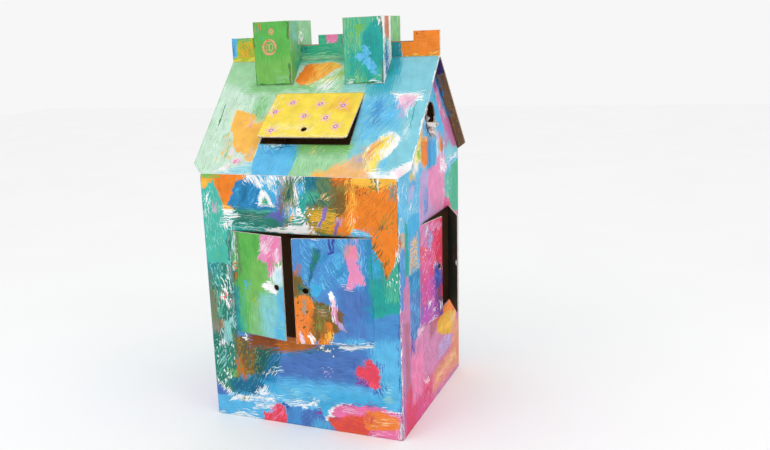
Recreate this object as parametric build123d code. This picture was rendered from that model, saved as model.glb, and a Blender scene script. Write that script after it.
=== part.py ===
from build123d import *
import math
import os

# Cardboard playhouse: a folded house sheet, and two chimney sleeves that clasp its ridge.
# Lengths are in millimetres and angles in degrees.
# The sheets are drawn with X along the front wall from its left corner, Y running back from the
# front wall and Z up from the floor, and the finished house is then moved onto its own origin.

# Board
board = 4.0
cut_width = 1.2
slack = 0.5
corner_bevel = 6.0
least_inner_bevel = 0.4
crease_bevel = 2.5

# Walls
house_width = 700.0
house_depth = 690.0
wall_height = 865.0
corner_notch_height = 7.0
corner_notch_width = 3.0
joint_flap_width = 35.0
joint_flap_end_gap = 12.0

# Roof
roof_pitch = 45.8
roof_overhang = 35.0
tab_from_eave = 199.0
tab_length = 98.0
tab_recess = 0.3

# Crenellated strip along the ridge
strip_height = 82.0
merlon_length = 88.0
crenel_depth = 34.5
rear_layer_rise = 3.5

# Windows with double shutters
window_sill = 320.0
window_height = 357.0
front_window_left = 103.0
front_window_right_margin = 91.0
front_left_shutter = 215.0
front_shutter_slit = 34.0
front_left_opened = 11.5
front_right_opened = 12.6
side_window_front = 211.0
side_window_rear_margin = 130.0
side_near_shutter = 161.0
side_shutter_slit = 2.0
side_near_opened = 10.5
side_far_opened = 25.6
shutter_corner_radius = 2.5

# Finger holes
finger_hole_diameter = 21.0
finger_hole_height = 502.0
front_left_finger_from_edge = 28.0
front_right_finger_from_edge = 38.0
side_finger_from_edge = 21.5
door_finger_from_edge = 30.0

# Skylight
skylight_width = 320.0
skylight_length = 212.0
skylight_from_eave = 128.0
skylight_opened = 9.2
skylight_corner_radius = 13.0
skylight_finger_from_edge = 36.0

# Round hole in the right gable, with torn tongues of card left on its lower rim
gable_hole_diameter = 98.0
gable_hole_above_eave = 154.0
tongue_thickness = 2.4
tongue_root = 1.5
tongue_tip_along = 0.42
tongue_shoulder_along = 0.8
tongue_shoulder_reach = 0.55
# Where each tongue starts and ends on the rim, how far it reaches, and how far it is bent outwards
tongues = ((196.0, 248.0, 34.0, 62.0), (252.0, 284.0, 22.0, 38.0), (288.0, 338.0, 30.0, 24.0))

# Back door
door_left = 165.0
door_right_margin = 165.0
door_height = 600.0
door_threshold = 45.0
door_opened = 7.0
door_corner_radius = 12.0
door_finger_height = 340.0

# Chimneys
chimney_width = 139.0
chimney_depth = 172.0
chimney_above_ridge = 133.0
chimney_bevel = 2.5
left_chimney_shift = 11.0
right_chimney_shift = 19.0
tie_from_top = 57.0
tie_length = 82.0
corner_slit_width = 3.0
slot_room = 0.4
seat_room = 0.3

# Sizes worked out from those above
front_window_width = house_width - front_window_left - front_window_right_margin
side_window_width = house_depth - side_window_front - side_window_rear_margin
door_width = house_width - door_left - door_right_margin
pitch_cos = math.cos(math.radians(roof_pitch))
pitch_sin = math.sin(math.radians(roof_pitch))
pitch_tan = math.tan(math.radians(roof_pitch))
ridge_y = house_depth / 2
strip_face_y = ridge_y - board - slack / 2
ridge_height = wall_height + strip_face_y * pitch_tan
slope_length = strip_face_y / pitch_cos
side_top = wall_height - (board + slack) / pitch_cos
crenel_length = (house_width + 2 * roof_overhang - 3 * merlon_length) / 2
crenel_floor = ridge_height + strip_height - crenel_depth
gable_hole_centre = (house_width, ridge_y, wall_height + gable_hole_above_eave)


def slope_point(along, inward):
    """The (Y, Z) of a point of the front slope, by its way up from the eave and its depth under the face."""
    y = along * pitch_cos + inward * pitch_sin
    z = wall_height + along * pitch_sin - inward * pitch_cos
    return (y, z)


def side_prism(points, start_x, length):
    """A prism along X whose section is a polygon of (Y, Z) points."""
    section = Plane.YZ.offset(start_x) * Polygon(*points, align=None)
    return extrude(section, amount=length, dir=(1, 0, 0))


def span_box(low, high):
    """A box given by its lowest and highest corners."""
    size = [b - a for a, b in zip(low, high)]
    return Pos(*low) * Box(*size, align=(Align.MIN, Align.MIN, Align.MIN))


def bevelled_sleeve(width, depth, bevel, square_corner=None):
    """The plan of a folded sleeve, one board thick, with bevelled corners; one corner may stay square."""
    outer = Rectangle(width, depth)
    inner = Rectangle(width - 2 * board, depth - 2 * board)
    folded = [corner for corner in outer.vertices() if square_corner is None or
              (corner.center() - Vector(*square_corner)).length > board]
    inner_bevel = max(bevel - board * (2 - math.sqrt(2)), least_inner_bevel)
    return chamfer(folded, bevel) - chamfer(inner.vertices(), inner_bevel)


def hinged_flap(length, width, opened, corner_radius, finger_along, finger_across):
    """A flap cut out of a panel on three sides and folded outwards about its crease.

    The crease is the Z axis. Closed, the flap lies along +X with its outer face on the plane Y = 0
    and its inner face one board behind. Opening turns it towards -Y, and a thin wedge fills the
    inside of the crease. The two free corners are rounded, and a finger hole goes through.
    """
    outline = Pos(length / 2, width / 2) * Rectangle(length, width)
    outline = fillet(outline.vertices().group_by(Axis.X)[-1], corner_radius)
    outline -= Pos(finger_along, finger_across) * Circle(finger_hole_diameter / 2)
    panel = Rot(0, 0, -opened) * extrude(Plane.XZ * outline, amount=-board)
    turn = math.radians(opened)
    wedge = Polygon((0, 0), (0, board), (board * math.sin(turn), board * math.cos(turn)), align=None)
    return panel + extrude(wedge, amount=width, dir=(0, 0, 1))


def shutter(width, opened, finger_from_edge):
    """A window shutter hinged on its left, standing on the sill with a cut's width to spare."""
    height = window_height - 2 * cut_width
    finger_up = finger_hole_height - window_sill - cut_width
    flap = hinged_flap(width, height, opened, shutter_corner_radius, width - finger_from_edge, finger_up)
    return Pos(0, 0, window_sill + cut_width) * flap


def wall_sleeve():
    """The four walls as one sleeve up to the foot of the gables, with its corner notches and joint flap."""
    plan = Pos(house_width / 2, ridge_y) * bevelled_sleeve(house_width, house_depth, corner_bevel)
    sleeve = extrude(plan, amount=side_top)
    for x in (0, house_width):
        for y in (0, house_depth):
            notch = Box(4 * corner_bevel, corner_notch_width, 2 * corner_notch_height)
            turn = 45 if (x == 0) == (y == 0) else -45
            sleeve -= Pos(x, y, 0) * Rot(0, 0, turn) * notch
    joint_flap = span_box((board / 2, house_depth - 2 * board, joint_flap_end_gap),
                          (board + joint_flap_width, house_depth - board / 2, side_top - joint_flap_end_gap))
    return sleeve + joint_flap


def gable(start_x):
    """The triangle of a gable with a tab on each raking edge, which stands through its slot in the roof."""
    peak = (ridge_y, side_top + ridge_y * pitch_tan)
    triangle = side_prism([(0, side_top), (house_depth, side_top), peak], start_x, board)
    root = board + slack + board
    low = tab_from_eave + slack
    high = tab_from_eave + tab_length - slack
    corners = [slope_point(low, root), slope_point(high, root),
               slope_point(high, tab_recess), slope_point(low, tab_recess)]
    tab = side_prism(corners, start_x, board)
    rear_tab = mirror(tab, about=Plane.XZ.offset(-ridge_y))
    return triangle + tab + rear_tab


def torn_tongue(start, end, reach, bent):
    """A torn tongue left on the rim of the gable hole, between two angles of the rim, and bent outwards."""
    radius = gable_hole_diameter / 2 + tongue_root
    first = Vector(math.cos(math.radians(start)), math.sin(math.radians(start))) * radius
    last = Vector(math.cos(math.radians(end)), math.sin(math.radians(end))) * radius
    chord = last - first
    tip = (chord.length * tongue_tip_along, reach)
    shoulder = (chord.length * tongue_shoulder_along, reach * tongue_shoulder_reach)
    outline = Polygon((0, 0), (chord.length, 0), shoulder, tip, align=None)
    flat = extrude(outline, amount=tongue_thickness, dir=(0, 0, -1))
    bent_up = Rot(bent, 0, 0) * flat
    rim = Plane(origin=gable_hole_centre, x_dir=(0, 1, 0), z_dir=(1, 0, 0))
    root_place = (first.X, first.Y, -tongue_thickness / 2)
    root = Plane(origin=root_place, x_dir=(chord.X, chord.Y, 0), z_dir=(0, 0, 1))
    return rim * (root * bent_up)


def gable_hole():
    """The drill for the round hole through the right gable."""
    return Pos(*gable_hole_centre) * Rot(0, 90, 0) * Cylinder(gable_hole_diameter / 2, 3 * board)


def roof_slope(skylight):
    """The front slope in its own plane: eave crease, chamfered corners, tab slots and maybe a skylight."""
    fold_end = corner_bevel
    outer_x = house_width + roof_overhang
    corner_rise = roof_overhang + fold_end
    outline = Polygon((fold_end, 0), (house_width - fold_end, 0), (outer_x, corner_rise),
                      (outer_x, slope_length), (-roof_overhang, slope_length), (-roof_overhang, corner_rise),
                      align=None)
    for centre_x in (board / 2, house_width - board / 2):
        centre = (centre_x, tab_from_eave + tab_length / 2)
        outline -= Pos(*centre) * Rectangle(board + 2 * slack, tab_length + 2 * slack)
    if skylight:
        opening_length = skylight_length + cut_width
        centre = (house_width / 2, skylight_from_eave - cut_width + opening_length / 2)
        outline -= Pos(*centre) * Rectangle(skylight_width + 2 * cut_width, opening_length)
    slope = Plane(origin=(0, 0, wall_height), x_dir=(1, 0, 0), z_dir=(0, -pitch_sin, pitch_cos))
    return extrude(slope * outline, amount=-board)


def ridge_strip(layer_rise):
    """One layer of the strip that stands on the ridge crease, with its two crenels cut down from the top."""
    top = ridge_height + strip_height
    inner_y = strip_face_y + board
    inner_foot = wall_height + inner_y * pitch_tan - board / pitch_cos
    section = [(strip_face_y, ridge_height), (strip_face_y, top), (inner_y, top), (inner_y, inner_foot),
               slope_point(slope_length, board)]
    strip = side_prism(section, -roof_overhang, house_width + 2 * roof_overhang)
    for start_x in crenel_starts():
        strip -= span_box((start_x, strip_face_y - board, crenel_floor + layer_rise),
                          (start_x + crenel_length, inner_y + board, top + board))
    return strip


def crenel_starts():
    """Where each crenel begins along X: a merlon stands at either end and one in the middle."""
    first = -roof_overhang + merlon_length
    return [first, first + crenel_length + merlon_length]


def wall_head_and_roof(skylight, layer_rise):
    """The top of the front wall, folded at the eave into its slope, and at the ridge into its strip."""
    head = span_box((corner_bevel, 0, side_top - board), (house_width - corner_bevel, board, wall_height))
    folded = head + roof_slope(skylight) + ridge_strip(layer_rise)
    bevel = [(0, wall_height - crease_bevel), slope_point(crease_bevel, 0), slope_point(crease_bevel, -board),
             (-board, wall_height + board), (-board, wall_height - crease_bevel)]
    return folded - side_prism(bevel, 0, house_width)


def skylight_flap():
    """The skylight's flap, which hangs from its upper edge and is folded a little way out."""
    hinge_along = skylight_from_eave + skylight_length
    hinge_y, hinge_z = slope_point(hinge_along, 0)
    crease = Plane(origin=((house_width - skylight_width) / 2, hinge_y, hinge_z),
                   x_dir=(0, -pitch_cos, -pitch_sin), z_dir=(1, 0, 0))
    return crease * hinged_flap(skylight_length, skylight_width, skylight_opened, skylight_corner_radius,
                                skylight_length - skylight_finger_from_edge, skylight_width / 2)


def window_shutters():
    """The two pairs of shutters, each hinged on its outer edge and folded outwards."""
    front_right = front_window_left + front_window_width
    front_right_shutter = front_window_width - front_left_shutter - front_shutter_slit
    side_back = side_window_front + side_window_width
    side_far_shutter = side_window_width - side_near_shutter - side_shutter_slit
    left_flap = shutter(front_left_shutter, front_left_opened, front_left_finger_from_edge)
    right_flap = mirror(shutter(front_right_shutter, front_right_opened, front_right_finger_from_edge),
                        about=Plane.YZ)
    near_flap = shutter(side_near_shutter, side_near_opened, side_finger_from_edge)
    far_flap = mirror(shutter(side_far_shutter, side_far_opened, side_finger_from_edge), about=Plane.YZ)
    left = Pos(front_window_left, 0, 0) * left_flap
    right = Pos(front_right, 0, 0) * right_flap
    near = Pos(house_width, side_window_front, 0) * Rot(0, 0, 90) * near_flap
    far = Pos(house_width, side_back, 0) * Rot(0, 0, 90) * far_flap
    return left + right + near + far


def wall_openings():
    """What is cut out of the walls: the two windows and the back doorway."""
    window_top = window_sill + window_height
    front = span_box((front_window_left, -board, window_sill),
                     (front_window_left + front_window_width, 2 * board, window_top))
    side = span_box((house_width - 2 * board, side_window_front, window_sill),
                    (house_width + board, side_window_front + side_window_width, window_top))
    doorway = span_box((door_left, house_depth - 1.5 * board, door_threshold),
                       (door_left + door_width, house_depth + board, door_threshold + door_height))
    return front + side + doorway


def door_flap():
    """The back door: a single flap hinged on the right as seen from behind, and left a little open."""
    height = door_height - 2 * cut_width
    length = door_width - cut_width
    flap = hinged_flap(length, height, door_opened, door_corner_radius, length - door_finger_from_edge,
                       door_finger_height)
    return Pos(door_left, house_depth, door_threshold + cut_width) * mirror(flap, about=Plane.XZ)


def house_sheet():
    """The whole house sheet: sleeve, gables, both roof slopes with their strips, and every flap."""
    rear_roof = mirror(wall_head_and_roof(False, rear_layer_rise), about=Plane.XZ.offset(-ridge_y))
    sheet = wall_sleeve() - wall_openings()
    sheet += gable(0) + (gable(house_width - board) - gable_hole())
    for start, end, reach, bent in tongues:
        sheet += torn_tongue(start, end, reach, bent)
    sheet += wall_head_and_roof(True, 0) + rear_roof
    return sheet + window_shutters() + skylight_flap() + door_flap()


def chimney(centre_x):
    """A sleeve notched to the roof's pitch and slotted over the ridge strip.

    Its front and back panels are cut square where their inner faces reach the slopes. The corner
    between the front and the right panel is open but for a tie in its middle.
    """
    front_y = ridge_y - chimney_depth / 2
    top = ridge_height + chimney_above_ridge
    foot = wall_height + front_y * pitch_tan
    open_corner = (chimney_width / 2, -chimney_depth / 2)
    plan = Pos(centre_x, ridge_y) * bevelled_sleeve(chimney_width, chimney_depth, chimney_bevel, open_corner)
    sleeve = extrude(Pos(0, 0, foot) * plan, amount=top - foot)
    lift = seat_room / pitch_cos
    roof_under = [(0, 0), (0, wall_height + lift), (ridge_y, wall_height + ridge_y * pitch_tan + lift),
                  (house_depth, wall_height + lift), (house_depth, 0)]
    sleeve -= side_prism(roof_under, centre_x - chimney_width, 2 * chimney_width)
    square_cut = wall_height + (front_y + board) * pitch_tan + lift
    for panel_y in (front_y, 2 * ridge_y - front_y - board):
        sleeve -= span_box((centre_x - chimney_width, panel_y, foot - board),
                           (centre_x + chimney_width, panel_y + board, square_cut))
    half_slot = board + slack / 2 + slot_room
    slot_top = crenel_floor + rear_layer_rise + seat_room
    sleeve -= span_box((centre_x - chimney_width, ridge_y - half_slot, foot),
                       (centre_x + chimney_width, ridge_y + half_slot, slot_top))
    slit_end = centre_x + chimney_width / 2 - board
    slit_start = slit_end - corner_slit_width
    for low, high in ((foot - board, top - tie_from_top - tie_length), (top - tie_from_top, top + board)):
        sleeve -= span_box((slit_start, front_y - board, low), (slit_end, front_y + board, high))
    return sleeve


first_crenel, second_crenel = crenel_starts()
sheets = {
    "house_sheet": house_sheet(),
    "left_chimney": chimney(first_crenel + crenel_length / 2 - left_chimney_shift),
    "right_chimney": chimney(second_crenel + crenel_length / 2 - right_chimney_shift),
}

# The origin is the middle of the whole house's box, at floor level
boxes = [sheet.bounding_box() for sheet in sheets.values()]
middle_x = (min(box.min.X for box in boxes) + max(box.max.X for box in boxes)) / 2
middle_y = (min(box.min.Y for box in boxes) + max(box.max.Y for box in boxes)) / 2
to_origin = Pos(-middle_x, -middle_y, 0)

os.makedirs("parts", exist_ok=True)
for node, sheet in sheets.items():
    export_step(to_origin * sheet, f"parts/{node}.step")
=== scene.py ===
import math
from collections import namedtuple

import bpy
import mathutils
import numpy as np
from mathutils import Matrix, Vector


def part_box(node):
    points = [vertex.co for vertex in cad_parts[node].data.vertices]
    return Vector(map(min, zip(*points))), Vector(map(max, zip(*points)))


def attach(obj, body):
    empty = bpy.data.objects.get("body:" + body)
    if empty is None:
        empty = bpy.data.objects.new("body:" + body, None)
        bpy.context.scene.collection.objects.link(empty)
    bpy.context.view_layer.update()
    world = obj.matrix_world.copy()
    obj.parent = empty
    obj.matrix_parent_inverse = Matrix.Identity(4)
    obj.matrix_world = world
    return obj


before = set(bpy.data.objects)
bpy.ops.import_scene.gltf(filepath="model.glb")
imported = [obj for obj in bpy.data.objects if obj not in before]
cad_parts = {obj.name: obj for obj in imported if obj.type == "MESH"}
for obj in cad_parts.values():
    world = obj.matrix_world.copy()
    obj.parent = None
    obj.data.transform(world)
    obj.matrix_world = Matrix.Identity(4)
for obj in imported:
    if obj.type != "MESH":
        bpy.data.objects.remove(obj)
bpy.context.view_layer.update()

# Sizes of the sheets, in metres
MM = 0.001
BOARD = 4 * MM
WALL_WIDTH, WALL_DEPTH, WALL_HEIGHT = 0.700, 0.690, 0.865
CORNER_BEVEL, CREASE_BEVEL, CHIMNEY_BEVEL = 6 * MM, 2.5 * MM, 2.5 * MM
PITCH = math.radians(45.8)
OVERHANG = 0.035
STRIP_HEIGHT, MERLON, CRENEL_DEPTH, REAR_RISE = 0.082, 0.088, 0.0345, 0.0035
CHIMNEY_WIDTH, CHIMNEY_DEPTH, CHIMNEY_RISE = 0.139, 0.172, 0.133
CHIMNEY_SHIFTS = (0.011, 0.019)
TIE_FROM_TOP, TIE_LENGTH, CORNER_SLIT = 0.057, 0.082, 3 * MM
SILL, WINDOW_HEIGHT = 0.320, 0.357
FRONT_WINDOW, SIDE_WINDOW = (0.103, 0.609), (0.211, 0.560)
SHUTTER_LIFT = 1.2 * MM
SHUTTER_HEIGHT = WINDOW_HEIGHT - 2 * SHUTTER_LIFT
FRONT_LEFT, FRONT_RIGHT, SIDE_NEAR, SIDE_FAR = 0.215, 0.257, 0.161, 0.186
# How far each flap is open, in degrees
OPENED = {"front_left": 11.5, "front_right": 12.6, "side_near": 10.5, "side_far": 25.6, "skylight": 9.2,
          "door": 7.0}
FINGER_RADIUS = 10.5 * MM
SKYLIGHT_FROM_EAVE, SKYLIGHT_LENGTH, SKYLIGHT_WIDTH = 0.128, 0.212, 0.320
SKYLIGHT_ROUND, DOOR_ROUND, SHUTTER_ROUND = 13 * MM, 12 * MM, 2.5 * MM
GABLE_HOLE_RADIUS, GABLE_HOLE_RISE = 0.049, 0.154
DOOR_LEFT, DOOR_WIDTH, DOOR_HEIGHT, DOOR_THRESHOLD = 0.165, 0.370, 0.600, 0.045
NOTCH_WIDTH, NOTCH_FOOT = 7 * MM, 857 * MM  # the small notches at the ends of the eave crease
FINGER_HEIGHT = 0.502
FINGER_FROM_EDGE = {"front_left": 0.028, "front_right": 0.038, "side": 0.0215, "door": 0.030, "skylight": 0.036}
DOOR_FINGER_HEIGHT = 0.340
SLOT_HALF = 4.7 * MM
FLUTE_PITCH = 7.5 * MM

# Sizes worked out from those above
SLOPE = math.tan(PITCH)
RIDGE_Y = WALL_DEPTH / 2
STRIP_Y = RIDGE_Y - BOARD - 0.25 * MM
RIDGE_Z = WALL_HEIGHT + STRIP_Y * SLOPE
SLOPE_LENGTH = STRIP_Y / math.cos(PITCH)
STRIP_LENGTH = WALL_WIDTH + 2 * OVERHANG
CRENEL = (STRIP_LENGTH - 3 * MERLON) / 2
CHIMNEY_FOOT = WALL_HEIGHT + (RIDGE_Y - CHIMNEY_DEPTH / 2) * SLOPE
CHIMNEY_HEIGHT = RIDGE_Z + CHIMNEY_RISE - CHIMNEY_FOOT
house_low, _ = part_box("house_sheet")
corner = np.array([house_low.x + OVERHANG,
                   house_low.y + FRONT_RIGHT * math.sin(math.radians(OPENED["front_right"])), 0.0])

Panel = namedtuple("Panel", "origin across up width height")


def panel(x, y, z, across, up, width, height):
    """A flat face: its lower left corner, seen from outside, and the directions across and up it."""
    return Panel(corner + (x, y, z), np.array(across, float), np.array(up, float), width, height)


def level(angle):
    """The direction at an angle from the front wall's, in the level plane."""
    return (math.cos(math.radians(angle)), math.sin(math.radians(angle)), 0.0)


UP = (0, 0, 1)
up_front_slope = (0, math.cos(PITCH), math.sin(PITCH))
up_rear_slope = (0, -math.cos(PITCH), math.sin(PITCH))
skylight_lean = PITCH - math.radians(OPENED["skylight"])
up_skylight = (0, math.cos(skylight_lean), math.sin(skylight_lean))
skylight_hinge = (SKYLIGHT_FROM_EAVE + SKYLIGHT_LENGTH) * np.array(up_front_slope)
skylight_foot = skylight_hinge - SKYLIGHT_LENGTH * np.array(up_skylight)
shutter_z = SILL + SHUTTER_LIFT


def flap_end(hinge_x, hinge_y, direction, length):
    """The free end of a flap that leaves its hinge in a level direction."""
    return hinge_x + direction[0] * length, hinge_y + direction[1] * length


right_end = flap_end(FRONT_WINDOW[1], 0, level(180 + OPENED["front_right"]), FRONT_RIGHT)
far_end = flap_end(WALL_WIDTH, SIDE_WINDOW[1], level(270 + OPENED["side_far"]), SIDE_FAR)
door_end = flap_end(DOOR_LEFT, WALL_DEPTH, level(OPENED["door"]), DOOR_WIDTH)
far_out = np.array(level(OPENED["side_far"]))
far_inner = (WALL_WIDTH - far_out[0] * BOARD, SIDE_WINDOW[1] - far_out[1] * BOARD)
panels = {
    "front_wall": panel(0, 0, 0, (1, 0, 0), UP, WALL_WIDTH, WALL_HEIGHT + 1.6 * MM),
    "right_wall": panel(WALL_WIDTH, 0, 0, (0, 1, 0), UP, WALL_DEPTH, RIDGE_Z),
    "back_wall": panel(WALL_WIDTH, WALL_DEPTH, 0, (-1, 0, 0), UP, WALL_WIDTH, WALL_HEIGHT),
    "left_wall": panel(0, WALL_DEPTH, 0, (0, -1, 0), UP, WALL_DEPTH, RIDGE_Z),
    "front_roof": panel(-OVERHANG, 0, WALL_HEIGHT, (1, 0, 0), up_front_slope, STRIP_LENGTH, SLOPE_LENGTH),
    "rear_roof": panel(WALL_WIDTH + OVERHANG, WALL_DEPTH, WALL_HEIGHT, (-1, 0, 0), up_rear_slope,
                       STRIP_LENGTH, SLOPE_LENGTH),
    "front_strip": panel(-OVERHANG, STRIP_Y, RIDGE_Z, (1, 0, 0), UP, STRIP_LENGTH, STRIP_HEIGHT),
    "rear_strip": panel(WALL_WIDTH + OVERHANG, WALL_DEPTH - STRIP_Y, RIDGE_Z, (-1, 0, 0), UP,
                        STRIP_LENGTH, STRIP_HEIGHT),
    "front_left_shutter": panel(FRONT_WINDOW[0], 0, shutter_z, level(-OPENED["front_left"]), UP,
                                FRONT_LEFT, SHUTTER_HEIGHT),
    "front_right_shutter": panel(*right_end, shutter_z, level(OPENED["front_right"]), UP,
                                 FRONT_RIGHT, SHUTTER_HEIGHT),
    "side_near_shutter": panel(WALL_WIDTH, SIDE_WINDOW[0], shutter_z, level(90 - OPENED["side_near"]), UP,
                               SIDE_NEAR, SHUTTER_HEIGHT),
    "side_far_shutter": panel(*far_end, shutter_z, level(90 + OPENED["side_far"]), UP,
                              SIDE_FAR, SHUTTER_HEIGHT),
    "side_far_inner": panel(*far_inner, shutter_z, level(270 + OPENED["side_far"]), UP,
                            SIDE_FAR, SHUTTER_HEIGHT),
    "roof_underside": panel(WALL_WIDTH, WALL_DEPTH - BOARD * math.sin(PITCH), WALL_HEIGHT - BOARD * math.cos(PITCH),
                            (1, 0, 0), up_rear_slope, OVERHANG, SLOPE_LENGTH - BOARD),
    "skylight": panel((WALL_WIDTH - SKYLIGHT_WIDTH) / 2, skylight_foot[1], WALL_HEIGHT + skylight_foot[2],
                      (1, 0, 0), up_skylight, SKYLIGHT_WIDTH, SKYLIGHT_LENGTH),
    "back_door": panel(*door_end, DOOR_THRESHOLD + SHUTTER_LIFT, level(180 + OPENED["door"]), UP,
                       DOOR_WIDTH, DOOR_HEIGHT - 2 * SHUTTER_LIFT),
}
for side, crenel_start, shift in (("left", MERLON - OVERHANG, CHIMNEY_SHIFTS[0]),
                                  ("right", 2 * MERLON + CRENEL - OVERHANG, CHIMNEY_SHIFTS[1])):
    middle = crenel_start + CRENEL / 2 - shift
    west, east = middle - CHIMNEY_WIDTH / 2, middle + CHIMNEY_WIDTH / 2
    south, north = RIDGE_Y - CHIMNEY_DEPTH / 2, RIDGE_Y + CHIMNEY_DEPTH / 2
    for face, x, y, across, width in (("front", west, south, (1, 0, 0), CHIMNEY_WIDTH),
                                      ("right", east, south, (0, 1, 0), CHIMNEY_DEPTH),
                                      ("back", east, north, (-1, 0, 0), CHIMNEY_WIDTH),
                                      ("left", west, north, (0, -1, 0), CHIMNEY_DEPTH)):
        panels[f"{side}_chimney_{face}"] = panel(x, y, CHIMNEY_FOOT, across, UP, width, CHIMNEY_HEIGHT)

# Paints: the body colour of each, and the glaze that shows in its brush streaks
paints = {
    "orange": ("#EE7A18", "#F68E2A"), "flame": ("#F4702E", "#F99A4A"), "rust": ("#B4601E", "#CE7424"),
    "umber": ("#8E5A20", "#6E5E2C"), "amber": ("#FBC45A", "#FDB04C"), "apricot": ("#F7B377", "#F6CB94"),
    "yellow": ("#FBDD3C", "#FCE766"), "pale yellow": ("#FBE678", "#FDF3B4"), "mustard": ("#E5A91C", "#EBB636"),
    "lime": ("#8FC032", "#B4D03C"), "grass": ("#4FB048", "#69BA58"), "leaf": ("#6BB651", "#7CBE5E"),
    "sage": ("#74BC70", "#8CC88A"), "pale green": ("#9AD3A2", "#AEDCB0"), "mint": ("#C6E5D3", "#DCF0E2"),
    "aqua": ("#76C6BE", "#8FD2CE"), "sea green": ("#21A77E", "#3FB48E"), "jade": ("#3FB08C", "#5DBD9A"),
    "teal": ("#149C96", "#2CB0A2"), "light teal": ("#35B6A4", "#58C4B4"), "deep teal": ("#1A7D88", "#2A96A0"),
    "bottle": ("#1F6F66", "#2E8A74"), "olive": ("#6E7E3A", "#93883A"), "moss": ("#55805C", "#6F8450"),
    "turquoise": ("#7ECADC", "#8CD2E0"), "sky": ("#4CB2E6", "#6CC4EE"), "azure": ("#2AA4DA", "#58BCEA"),
    "cornflower": ("#4A86CA", "#4C9CD8"), "denim": ("#3F68B4", "#5884C6"), "ocean": ("#1C78B2", "#2E90C6"),
    "navy": ("#34409A", "#4456B0"), "ice": ("#A8D8E8", "#C8E8F0"), "lilac": ("#B29CD2", "#C6B0DC"),
    "violet": ("#7A66B4", "#8E78C4"), "plum": ("#6A3488", "#8C4A9C"), "orchid": ("#B24CB0", "#C462BC"),
    "magenta": ("#D84880", "#E4609A"), "crimson": ("#D82C50", "#E64868"), "red": ("#EC3A50", "#F25466"),
    "rose": ("#E68ABA", "#EE9CC6"), "pink": ("#EC6CA4", "#F28AB6"), "pale pink": ("#F2C8DC", "#FADCEA"),
    "mauve": ("#C878A8", "#D88CB8"), "dusty rose": ("#B0607E", "#C87894"), "salmon": ("#E48E70", "#EAA488"),
    "beige": ("#D2B090", "#DCC4A4"), "grey": ("#7E9490", "#94A8A4"), "taupe": ("#7C8472", "#948C7C"),
    # dark card, on the line below, is mostly painted shade: the brown inner board where it lies in shadow
    "white": ("#F6F7F5", "#FFFFFF"), "brown card": ("#8A6644", "#7A5A3C"), "dark card": ("#4E463A", "#5C5244"),
    "shadow green": ("#2E7A34", "#3A8A40"), "pine": ("#174F50", "#1E6460"), "prussian": ("#125E8A", "#1A7698"),
    "sienna": ("#7A3C16", "#96501C"), "brick": ("#E0483A", "#EA6440"), "gold": ("#F7B42E", "#FBC650"),
    "lagoon": ("#249FB6", "#4CB8C8"), "terracotta": ("#BE6C4C", "#D08A66"), "sun": ("#FCDA3E", "#FDE25C"),
    "midnight": ("#2C2054", "#43306A"), "indigo": ("#5560B0", "#6B72BC"),
}

# Brushes: how far the bristles break the outline, how soft its edge is, how dry they run, and how far inside
# the outline they stop breaking it (lengths in metres)
Brush = namedtuple("Brush", "ragged soft dry deep")
brushes = {
    "full": Brush(0.005, 0.0015, 0.0, 1.0), "loaded": Brush(0.012, 0.002, 0.0, 1.0),
    "worn": Brush(0.030, 0.004, 0.05, 1.0), "dry": Brush(0.045, 0.003, 0.22, 0.014),
    "streaky": Brush(0.045, 0.003, 0.3, 0.005), "flecks": Brush(0.045, 0.002, 0.42, 0.002),
    "blend": Brush(0.030, 0.030, 0.0, 1.0), "fine": Brush(0.002, 0.0015, 0.0, 1.0),
}
Daub = namedtuple("Daub", "paint brush grain corners")


def daubs_of(table):
    """The dabs in a table, lowest first: on each line a paint, a brush and a grain, then the corners in mm.

    Two corners stand for the upright rectangle between them.
    """
    made = []
    for line in table.strip().splitlines():
        if line.startswith("#"):
            continue
        words, spots = line.split(":")
        *paint, brush, grain = words.split()
        corners = np.array([spot.split(",") for spot in spots.split()], float) * MM
        if len(corners) == 2:
            (left, foot), (right, top) = corners
            corners = np.array([(left, foot), (right, foot), (right, top), (left, top)])
        made.append(Daub(" ".join(paint), brush, grain, corners))
    return made


BEYOND = 25 * MM  # how far the corners of a dab at the rim are moved out
AT_FOOT, AT_HEAD = 0.5 * MM, 2 * MM  # how near the foot or left side, and the top or right side, the rim begins


def pushed_over(corners, width, height):
    """The corners of a dab on a face, with those at the rim moved well beyond it, so that it ends crisply there."""
    size = np.array((width, height))
    return corners - BEYOND * (corners < AT_FOOT) + BEYOND * (corners > size - AT_HEAD)


def inward_sides(corners):
    """Each side of a convex outline as (x, y, c), so that x·across + y·up + c is the way inside that side."""
    ahead = np.roll(corners, -1, axis=0) - corners
    turns = ahead[:, 0] * np.roll(ahead, -1, axis=0)[:, 1] - ahead[:, 1] * np.roll(ahead, -1, axis=0)[:, 0]
    inward = np.column_stack([-ahead[:, 1], ahead[:, 0]]) * np.sign(turns.sum())
    inward /= np.linalg.norm(inward, axis=1, keepdims=True)
    return np.column_stack([inward, -(inward * corners).sum(axis=1)])


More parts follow.
